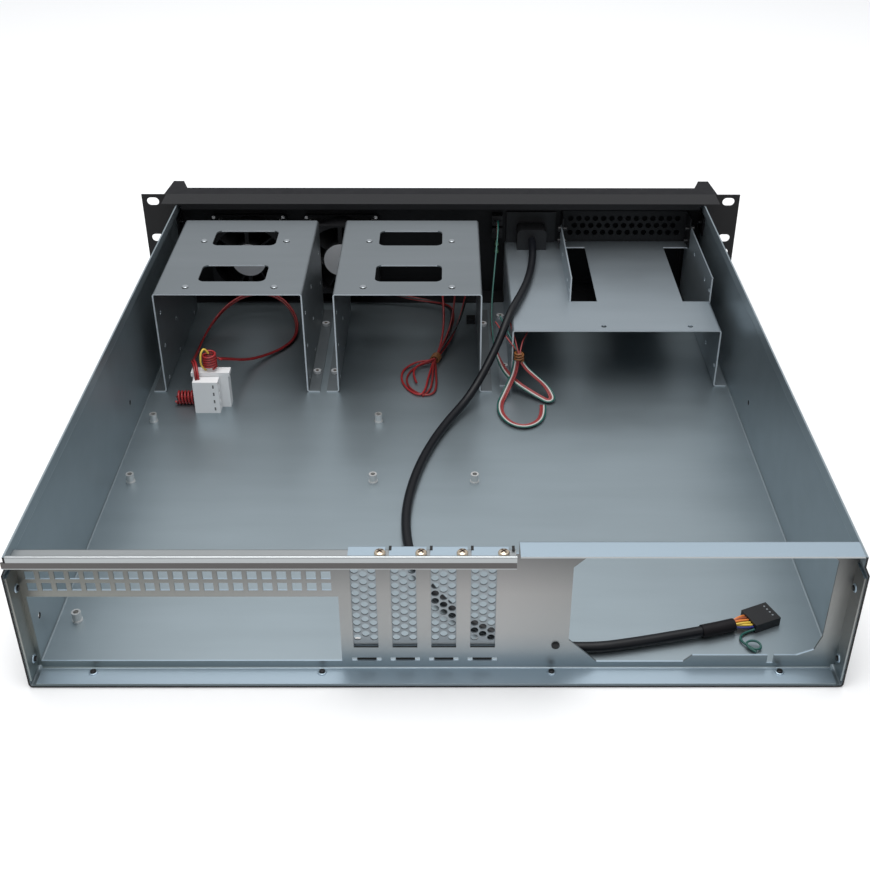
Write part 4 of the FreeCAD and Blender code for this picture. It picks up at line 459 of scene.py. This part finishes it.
def slot_heads():
    """Brassy slot screws with low domed heads and cross recesses painted dark as shade."""
    places = [((x, REAR - SLOT_SCREW_INSET, TAB_TOP), UP) for x in SLOT_SCREWS]
    heads = turned("slot_screw_heads", places, SLOT_SCREW, SCREW_BRASSY)
    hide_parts("slot_screws")
    points, faces = [], []
    for (x, y, z), _ in places:
        for turn in RECESS_TURNS:
            along = Vector((math.cos(turn), math.sin(turn), 0))
            across = Vector((-along.y, along.x, 0))
            faces += box_faces(len(points))
            points += [Vector((x, y, z + level)) + along * RECESS_REACH * a + across * RECESS_HALF_WIDTH * b
                       for level in RECESS_LEVELS for a, b in CORNERS]
    add_mesh("slot_screw_recess_shades", points, faces, RECESS_SHADE)


def panel_shadows():
    """Painted shadows in the gaps round the slot covers, painted shade under the roll above them with a painted
    highlight line along its hem, and a screw's stub.
    """
    gaps = [shifted(TAB_GAP_SHADOW, x) for x in SLOT_SCREWS]
    feet = [shifted(FOOT_GAP_SHADOW, -SLOT_PITCH * number) for number in range(4)]
    boxes("panel_gap_shadows", gaps + feet, PAINTED_SHADE_BLACK)
    boxes("roll_shade", [ROLL_SHADE], ROLL_SHADE_STEEL)
    boxes("hem_highlight_line", [HEM_HIGHLIGHT_LINE], SHEEN_STEEL)
    turned("panel_stub", [(STUB_PLACE, (0, 1, 0))], PANEL_STUB, SCREW_BLACK)


def cage_studs():
    """Low pressed studs on the tops of the drive cages, painted lighter than the cage as a highlight, each with a
    painted shadow crescent on its rear side.
    """
    places = [((centre + side, along, CAGE_TOP), UP) for centre in CAGE_CENTRES
              for side in (STUD_SIDE, -STUD_SIDE) for along in STUD_ROWS]
    turned("cage_studs", places, CAGE_STUD, STUD)
    shades = [((x, y + STUD_SHADE_SHIFT, z), up) for (x, y, z), up in places]
    turned("cage_stud_shades", shades, STUD_SHADE, PAINTED_SHADE_BLACK)


def foot_recesses():
    """Recesses in the heads of the screws that hold the cages' and the bracket's feet, painted dark as shade."""
    heads = []
    for name in ("cage_screws", "bracket_screws"):
        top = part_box(name)[1].z - EDGE_DEPTH
        for point in (NODES[name].matrix_world @ vertex.co for vertex in NODES[name].data.vertices):
            near = [head for head in heads if (head[0] - point).length < HEAD_REACH]
            if point.z > top and near:
                near[0].append(point)
            elif point.z > top:
                heads.append([point])
    places = [(tuple(sum(head, Vector()) / len(head) / MM), UP) for head in heads]
    turned("foot_screw_recess_shades", places, FOOT_RECESS, RECESS_SHADE)


def plug_windows():
    """Shadowed latch windows of the front power plug."""
    boxes("plug_windows", [shifted(PLUG_WINDOW, z=height) for height in PLUG_WINDOW_HEIGHTS], WINDOW)


def front_fittings():
    """Tips of the fans' upper screws made white as a painted highlight, a black box lying on the floor, and the foam
    filter behind the louvres.
    """
    tips = [((x, FAN_SCREW_Y, FAN_SCREW_TOP), UP) for x in FAN_SCREWS]
    # Painted highlight: the screw tips are white so that they show bright
    turned("fan_screw_tip_highlights", tips, FAN_SCREW_TIP, WHITE)
    boxes("floor_black_box", [FLOOR_BLACK_BOX], BLACK)
    boxes("dust_filter", [DUST_FILTER], FOAM)


panel_screws()
slot_heads()
front_fittings()
panel_shadows()
cage_studs()
foot_recesses()
plug_windows()

# ---------------------------------------------------------------- cords

RING_STEPS = 8                      # points round a strand
HELD_ROLL = 5                       # how much faster a strand rolls once its held part is past
COIL_STEPS = 10                     # control points in a turn of a coil
COIL_TILT = Vector((0.3, 0.2, 1)).normalized()
HEADER_MIDDLE = (-184.3, 191.6, 6.6)
HEADER_LINE = (-0.405, 0.914, 0)
HEADER_PITCH = 2.54

# Routes in millimetres
USB_CABLE = [(-73.3, -195.6, 56.0), (-73.3, -180.0, 56.0), (-71.2, -157.0, 52.0), (-66.0, -129.0, 51.5),
             (-58.7, -102.5, 51.9), (-50.5, -77.5, 52.0), (-40.0, -55.0, 34.0), (-22.0, -31.0, 10.0),
             (-3.5, -2.0, 4.7), (10.0, 34.0, 4.4), (18.5, 73.0, 4.4), (21.0, 110.0, 4.4), (15.5, 148.0, 4.4),
             (-3.0, 184.8, 4.4), (-35.0, 213.0, 4.4), (-78.0, 219.9, 4.4), (-112.0, 214.0, 4.4),
             (-147.0, 205.8, 4.9)]
USB_SLEEVE = [(-144.6, 206.5, 4.8), (-151.0, 204.8, 4.8), (-157.0, 203.1, 4.8), (-163.2, 201.2, 4.8)]
HEADER_LEADS = [
    (WIRE_ORANGE, [(-163.0, 199.6, 6.2), (-166.6, 197.4, 7.6), (-170.4, 194.0, 4.8)]),
    (WIRE_BROWN, [(-163.2, 200.2, 6.8), (-167.2, 198.6, 7.8), (-171.0, 195.8, 5.0)]),
    (WIRE_ORANGE, [(-163.0, 201.0, 6.6), (-167.4, 200.0, 7.2), (-171.8, 197.6, 5.0)]),
    (WIRE_YELLOW, [(-163.2, 201.8, 5.4), (-167.8, 201.4, 6.6), (-172.6, 199.4, 4.8)]),
    (WIRE_YELLOW, [(-163.2, 200.6, 4.4), (-168.2, 202.4, 5.4), (-173.4, 201.0, 4.6)]),
    (WIRE_BLUE, [(-163.2, 202.0, 4.0), (-168.6, 203.8, 4.6), (-174.0, 202.2, 4.2)]),
    (WIRE_BLACK, [(-163.2, 199.4, 4.0), (-167.0, 196.8, 3.6), (-171.0, 195.8, 3.2)]),
    (WIRE_GREEN, [(-174.6, 203.1, 3.2), (-170.6, 204.2, 2.6), (-166.4, 206.6, 2.4), (-165.2, 210.7, 2.4),
                  (-168.5, 215.4, 2.4), (-171.8, 218.3, 2.4), (-175.4, 217.4, 2.4), (-175.2, 213.6, 3.2),
                  (-171.4, 212.0, 3.6), (-167.4, 213.6, 3.4), (-168.6, 217.3, 2.6), (-172.0, 220.0, 2.4)]),
]
SWITCH_LEAD = [(-45.6, -200.9, 69.0), (-45.6, -193.5, 69.0), (-45.0, -185.0, 63.5), (-43.5, -172.0, 54.0),
               (-41.5, -154.0, 42.5), (-39.5, -134.0, 32.5), (-38.6, -114.0, 25.0), (-39.6, -95.0, 19.5),
               (-42.6, -77.0, 15.5), (-47.6, -61.0, 12.0), (-56.0, -50.0, 9.0), (-65.5, -43.5, 5.6),
               (-73.0, -38.5, 3.4), (-77.6, -34.6, 3.0), (-81.0, -37.0, 3.6), (-79.8, -42.0, 5.6),
               (-76.0, -46.8, 9.6), (-68.0, -50.0, 15.5), (-61.6, -52.8, 20.5), (-58.9, -53.9, 25.0)]
LOOP_LEAD = [(-55.0, -54.7, 25.0), (-54.2, -52.8, 17.0), (-50.0, -49.0, 8.6), (-46.0, -42.0, 3.2),
             (-42.6, -31.0, 2.7), (-43.4, -17.0, 2.7), (-50.0, -5.0, 2.7), (-60.0, -1.6, 2.7),
             (-69.0, -7.6, 2.7), (-73.2, -19.0, 2.7), (-73.6, -30.0, 2.7)]
OUTER_LEAD = [(170.0, -26.1, 26.0), (170.0, -26.1, 30.5), (172.2, -34.0, 35.0), (175.8, -44.0, 31.0),
              (179.4, -60.0, 22.0), (182.6, -80.0, 13.5), (184.4, -102.0, 8.0), (184.2, -124.0, 6.4),
              (180.2, -146.0, 8.6), (172.5, -161.0, 13.5), (159.5, -170.0, 19.0), (144.0, -172.6, 21.0),
              (129.5, -169.8, 17.5), (118.6, -160.0, 10.5), (113.6, -145.0, 5.0), (114.4, -128.0, 2.8),
              (121.4, -113.5, 2.8), (131.5, -102.5, 3.2), (140.5, -90.0, 6.6), (147.0, -75.0, 14.0),
              (152.2, -59.0, 24.0), (156.8, -42.0, 34.0)]
INNER_LEAD = [(50.6, -190.0, 14.0), (40.0, -189.2, 12.0), (22.0, -186.0, 8.0), (4.0, -181.5, 7.0),
              (-6.5, -170.0, 9.5), (-10.0, -153.0, 12.5), (-7.6, -131.0, 10.5), (-2.6, -112.0, 5.2),
              (2.2, -97.6, 5.2)]
HANK_LOOPS = [
    (WIRE_RED, [(4.7, -90.0, 5.4), (10.0, -91.0, 4.4), (20.0, -90.0, 3.0), (28.5, -80.0, 2.2), (29.0, -65.0, 2.0),
                (23.0, -51.0, 2.0), (14.0, -43.0, 2.4), (10.5, -52.0, 3.0), (9.0, -68.0, 3.4), (5.4, -88.0, 4.6)]),
    (WIRE_DARK_RED, [(4.9, -90.2, 4.0), (12.0, -88.6, 3.4), (21.5, -82.0, 2.0), (25.8, -68.0, 1.9),
                     (22.0, -53.0, 1.9), (12.0, -44.2, 1.9), (4.2, -46.5, 2.2), (2.6, -60.0, 2.6),
                     (3.4, -76.0, 3.2), (3.8, -89.6, 4.4)]),
    (WIRE_RED, [(4.4, -89.8, 6.8), (11.0, -86.4, 5.8), (19.0, -81.0, 4.6), (20.4, -71.0, 3.4), (17.4, -61.5, 2.6)]),
    (WIRE_DARK_RED, [(3.9, -89.6, 6.2), (5.6, -79.0, 5.2), (5.8, -64.0, 3.2), (7.4, -50.0, 2.0),
                     (12.6, -43.6, 1.9)]),
]
HANK_STRANDS = [
    (WIRE_RED, [(3.0, -95.5, 6.2), (0.5, -104.0, 8.0), (-2.0, -120.0, 13.5), (-2.6, -140.0, 22.0),
                (-1.0, -160.0, 31.0)]),
    (WIRE_DARK_RED, [(2.2, -95.0, 6.8), (-1.5, -106.0, 9.5), (-7.5, -122.0, 16.5), (-10.5, -142.0, 25.0),
                     (-12.0, -162.0, 33.0)]),
    (WIRE_RED, [(1.6, -95.5, 5.6), (-3.5, -106.0, 7.0), (-9.5, -120.0, 10.5), (-17.5, -140.0, 22.0),
                (-21.0, -162.0, 32.0)]),
    (WIRE_BLACK, [(1.8, -96.0, 6.4), (-4.5, -108.0, 10.5), (-14.0, -124.0, 18.5), (-19.5, -144.0, 27.0),
                  (-23.5, -164.0, 34.0)]),
]
TIE_STRANDS = [
    (RIBBON_RED, [(-57.2, -55.0, 30.5), (-48.2, -62.0, 39.8), (-44.2, -72.0, 40.9), (-40.7, -84.0, 41.1)]),
    (WIRE_GREEN, [(-56.6, -54.8, 31.0), (-50.3, -62.0, 41.4), (-47.1, -72.0, 43.4), (-43.8, -84.0, 46.0)]),
    (RIBBON_RED, [(-56.4, -54.6, 31.0), (-53.9, -61.0, 40.3), (-52.1, -70.0, 42.0), (-50.4, -82.0, 45.4)]),
    (RIBBON_RED, [(-57.4, -54.4, 31.0), (-59.1, -61.0, 37.9), (-63.1, -70.0, 38.7), (-66.6, -82.0, 42.1)]),
]
OVER_LOOP = [(164.6, -35.0, 28.4), (167.0, -31.6, 33.0), (167.4, -31.0, 39.0), (166.6, -32.6, 44.6),
             (164.2, -34.8, 46.8), (162.2, -35.4, 42.0)]


def new_curve(name, points):
    """Curve object with one smooth spline whose control points are a route's points."""
    curve = bpy.data.curves.new(name, "CURVE")
    curve.dimensions = "3D"
    curve.resolution_u = 10
    spline = curve.splines.new("NURBS")
    spline.points.add(len(points) - 1)
    for place, point in zip(spline.points, points):
        place.co = (*(Vector(point) * MM), 1)
    spline.order_u = 3
    spline.use_endpoint_u = True
    cord = bpy.data.objects.new(name, curve)
    bpy.context.scene.collection.objects.link(cord)
    return cord


def round_cord(name, points, diameter, finish):
    """Plain round cord or wire along a route."""
    cord = new_curve(name, points)
    cord.data.bevel_depth = diameter * MM / 2
    cord.data.bevel_resolution = 3
    cord.data.use_fill_caps = True
    cord.data.materials.append(finish)
    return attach(cord, "case")


def route_line(points):
    """Points along the smooth centre line of a route."""
    guide = new_curve("route", points)
    bpy.context.view_layer.update()
    mesh = bpy.data.meshes.new_from_object(guide.evaluated_get(bpy.context.evaluated_depsgraph_get()))
    line = [vertex.co.copy() for vertex in mesh.vertices]
    bpy.data.objects.remove(guide)
    return line


def strand_rings(line, offset, radius, roll_start, roll_end, held):
    """Rings of points round one strand that keeps its offset from a line which rolls once past a held part."""
    rings = []
    last = len(line) - 1
    for index, centre in enumerate(line):
        ahead = (line[min(index + 1, last)] - line[max(index - 1, 0)]).normalized()
        side = ahead.cross(Vector((0, 0, 1))).normalized()
        over = side.cross(ahead)
        done = min(1, max(0, (index / last - held) / (1 - held) * (HELD_ROLL if held else 1)))
        roll = math.radians(roll_start + (roll_end - roll_start) * done)
        across = side * math.cos(roll) + over * math.sin(roll)
        above = over * math.cos(roll) - side * math.sin(roll)
        middle = centre + (across * offset[0] + above * offset[1]) * MM
        rings.append([middle + (across * math.cos(turn) + above * math.sin(turn)) * radius * MM
                      for turn in (math.tau * step / RING_STEPS for step in range(RING_STEPS))])
    return rings


def stranded_cord(name, line, strands, radius, roll_start=0, roll_end=0, held=0):
    """One mesh of parallel or twisted wires; strands are (finish, offset across, offset above)."""
    points, faces, finishes = [], [], []
    mesh = bpy.data.meshes.new(name)
    for number, (finish, across, above) in enumerate(strands):
        mesh.materials.append(finish)
        rings = strand_rings(line, (across, above), radius, roll_start, roll_end, held)
        first = len(points)
        points += [point for ring in rings for point in ring]
        for index in range(len(rings) - 1):
            for step in range(RING_STEPS):
                here = first + index * RING_STEPS + step
                beside = first + index * RING_STEPS + (step + 1) % RING_STEPS
                faces.append((here, beside, beside + RING_STEPS, here + RING_STEPS))
                finishes.append(number)
        end = first + (len(rings) - 1) * RING_STEPS
        faces += [tuple(range(first + RING_STEPS - 1, first - 1, -1)), tuple(range(end, end + RING_STEPS))]
        finishes += [number, number]
    mesh.from_pydata(points, [], faces)
    mesh.polygons.foreach_set("material_index", finishes)
    mesh.polygons.foreach_set("use_smooth", [True] * len(faces))
    mesh.update()
    cord = bpy.data.objects.new(name, mesh)
    bpy.context.scene.collection.objects.link(cord)
    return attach(cord, "case")


def coil_points(start, end, radius, turns):
    """Control points of a wire wound evenly round the line from start to end."""
    start, end = Vector(start), Vector(end)
    along = (end - start).normalized()
    side = along.cross(COIL_TILT).normalized()
    over = along.cross(side)
    steps = int(turns * COIL_STEPS)
    points = []
    for step in range(steps + 1):
        turn = math.tau * turns * step / steps
        out = side * math.cos(turn) + over * math.sin(turn)
        points.append(tuple(start.lerp(end, step / steps) + out * radius))
    return points


def usb_lead():
    """Thick round cable, its shrink sleeve, and the header plug's own short wires."""
    cable = round_cord("usb_cable_cord", USB_CABLE, 6.0, CABLE)
    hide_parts("usb_cable")
    sleeve = round_cord("usb_sleeve_cord", USB_SLEEVE, 7.5, SLEEVE)
    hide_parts("usb_sleeve")
    wires = [round_cord(f"header_wire_{number}", points, 1.3, finish)
             for number, (finish, points) in enumerate(HEADER_LEADS)]
    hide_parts("usb_header_leads")
    middle, along = Vector(HEADER_MIDDLE), Vector(HEADER_LINE) * HEADER_PITCH
    windows = [(tuple(middle + along * place), UP) for place in (-1.5, -0.5, 0.5, 1.5)]
    turned("header_windows", windows, HEADER_WINDOW, STUD)


def switch_leads():
    """Flat four-wire lead from the switches, folded back to its tie, and the loop below it."""
    flat = [(RIBBON_RED, -1.8, 0), (RIBBON_RED, -0.6, 0), (RIBBON_WHITE, 0.6, 0), (WIRE_GREEN, 1.8, 0)]
    line = route_line(SWITCH_LEAD)
    lead = stranded_cord("switch_lead", line, flat, radius=0.6, roll_start=95, held=0.34)
    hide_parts("lead_switch")
    line = route_line(LOOP_LEAD)
    loop = stranded_cord("switch_lead_loop", line, flat, radius=0.6, roll_start=20)
    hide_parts("lead_loop")
    strands = [round_cord(f"tie_strand_{number}", points, 1.1, finish)
               for number, (finish, points) in enumerate(TIE_STRANDS)]


def wound_wire(name, node, start, end, radius, turns, diameter, finish):
    """Wire wound closely along a line, in place of a coil's or a tie's solid."""
    points = coil_points(start, end, radius, turns)
    wire = round_cord(name, points, diameter, finish)
    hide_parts(node)


def fan_leads():
    """Outer fan's two-wire loop with its wound ends, and the inner fan's bundle with its hank."""
    line = route_line(OUTER_LEAD)
    pair = stranded_cord("outer_lead", line, [(WIRE_RED, 0.85, 0), (WIRE_DARK_RED, -0.85, 0)],
                         radius=0.85, roll_end=200)
    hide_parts("lead_outer")
    through = [(WIRE_YELLOW, 2.2, 1.0), (WIRE_BLACK, 0.8, -1.6), (WIRE_BLACK, -1.4, 1.6), (WIRE_RED, -2.4, -0.6)]
    core = stranded_cord("coil_core", [Vector((161.8, -35.2, z)) * MM for z in (29.0, 34.0, 39.0, 44.0)],
                         through, radius=0.7)
    yellow = round_cord("yellow_loop", OVER_LOOP, 1.4, WIRE_YELLOW)
    wound_wire("outer_coil", "coil_outer", (161.8, -35.2, 31.5), (161.8, -35.2, 42.0),
               radius=4.5, turns=5.5, diameter=1.5, finish=WIRE_RED)
    side_core = stranded_cord("side_coil_core", [Vector((x, -34.6, 6.5)) * MM for x in (174.1, 178.0, 184.0, 188.0)],
                              [(WIRE_BLACK, 1.6, 0.8), (WIRE_DARK_RED, -1.4, 1.2), (WIRE_BLACK, 0, -1.6)],
                              radius=0.8)
    wound_wire("side_coil", "coil_side", (175.4, -34.6, 6.5), (188.0, -34.6, 6.5),
               radius=4.4, turns=5.5, diameter=1.6, finish=WIRE_RED)
    line = route_line(INNER_LEAD)
    bundle = [(WIRE_DARK_RED, 1.0, 0.2), (WIRE_BLACK, 0.2, 1.0), (WIRE_BLACK, -1.0, 0.3),
              (WIRE_DARK_RED, -0.5, -0.9), (WIRE_BLACK, 0.6, -0.9)]
    lead = stranded_cord("inner_lead", line, bundle, radius=0.62, roll_end=420)
    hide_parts("lead_inner")
    loops = [round_cord(f"hank_loop_{number}", points, 1.6, finish)
             for number, (finish, points) in enumerate(HANK_LOOPS + HANK_STRANDS)]
    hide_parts("inner_hank")


def bundle_ties():
    """Wire ties twisted round the two bundles."""
    wound_wire("front_tie", "tie_front", (-56.9, -54.3, 25.8), (-56.9, -54.3, 32.2),
               radius=3.1, turns=3.0, diameter=1.5, finish=TIE)
    wound_wire("inner_tie", "tie_inner", (2.4, -97.0, 5.2), (4.5, -90.6, 5.2),
               radius=3.1, turns=3.0, diameter=1.5, finish=TIE)


usb_lead()
switch_leads()
fan_leads()
bundle_ties()

# ---------------------------------------------------------------- floor, lights and camera

FLOOR_SIZE = 12
FLOOR_GAP = 0.5 * MM
WORLD_COLOUR = (0.95, 0.97, 1.0)
WORLD_STRENGTH = 0.62
AREA_LIGHTS = (                     # name, place, target, width, height and watts
    ("overhead", (0.1, 0.3, 1.9), (0, 0, 0), 1.6, 1.6, 30),
    ("high_fill", (0.0, -1.0, 2.3), (0, 0, 0.05), 1.6, 0.9, 9),
)
CAMERA_PLACE = (-0.006211, 0.695915, 0.457298)
CAMERA_TURNS = (0.2718, 32.2240, -0.1628)  # yaw, pitch down and roll, in degrees
CAMERA_LENS = 49.609
CAMERA_SHIFT = (-0.02124, -0.03028)


def lay_floor():
    """Plain pale floor under the whole case."""
    bpy.ops.mesh.primitive_plane_add(size=FLOOR_SIZE, location=(0, 0, cad_box[0][2] - FLOOR_GAP))
    floor = bpy.context.object
    floor.name = "studio_floor"
    pale, _ = new_material("studio_floor", (0.93, 0.93, 0.93), 0.9, specular=0.1)
    floor.data.materials.append(pale)


def area_light(name, place, target, width, height, power):
    """Soft rectangular light aimed at a point."""
    light = bpy.data.lights.new(name, "AREA")
    light.shape = "RECTANGLE"
    light.size = width
    light.size_y = height
    light.energy = power
    lamp = bpy.data.objects.new(name, light)
    lamp.location = place
    lamp.rotation_euler = (Vector(target) - Vector(place)).to_track_quat("-Z", "Y").to_euler()
    bpy.context.scene.collection.objects.link(lamp)


def light_studio():
    """White surroundings, with a broad light overhead and a weaker one high before the case's front."""
    bpy.context.scene.view_settings.view_transform = "Standard"
    world = bpy.data.worlds.new("studio")
    world.use_nodes = True
    background = world.node_tree.nodes["Background"]
    background.inputs["Color"].default_value = (*WORLD_COLOUR, 1)
    background.inputs["Strength"].default_value = WORLD_STRENGTH
    bpy.context.scene.world = world
    for light in AREA_LIGHTS:
        area_light(*light)


def place_camera():
    """Camera behind the case, looking forwards and down into it."""
    yaw, pitch, roll = (math.radians(angle) for angle in CAMERA_TURNS)
    forward = Vector((-math.sin(yaw) * math.cos(pitch), -math.cos(yaw) * math.cos(pitch), -math.sin(pitch)))
    level = Vector((-math.cos(yaw), math.sin(yaw), 0))
    sunk = forward.cross(level)
    right = level * math.cos(roll) + sunk * math.sin(roll)
    up = level * math.sin(roll) - sunk * math.cos(roll)
    turn = Matrix((right, up, -forward)).transposed().to_4x4()
    data = bpy.data.cameras.new("camera")
    data.sensor_width = 36
    data.lens = CAMERA_LENS
    data.shift_x, data.shift_y = CAMERA_SHIFT
    camera = bpy.data.objects.new("camera", data)
    camera.matrix_world = Matrix.Translation(CAMERA_PLACE) @ turn
    bpy.context.scene.collection.objects.link(camera)
    bpy.context.scene.camera = camera


lay_floor()
light_studio()
place_camera()
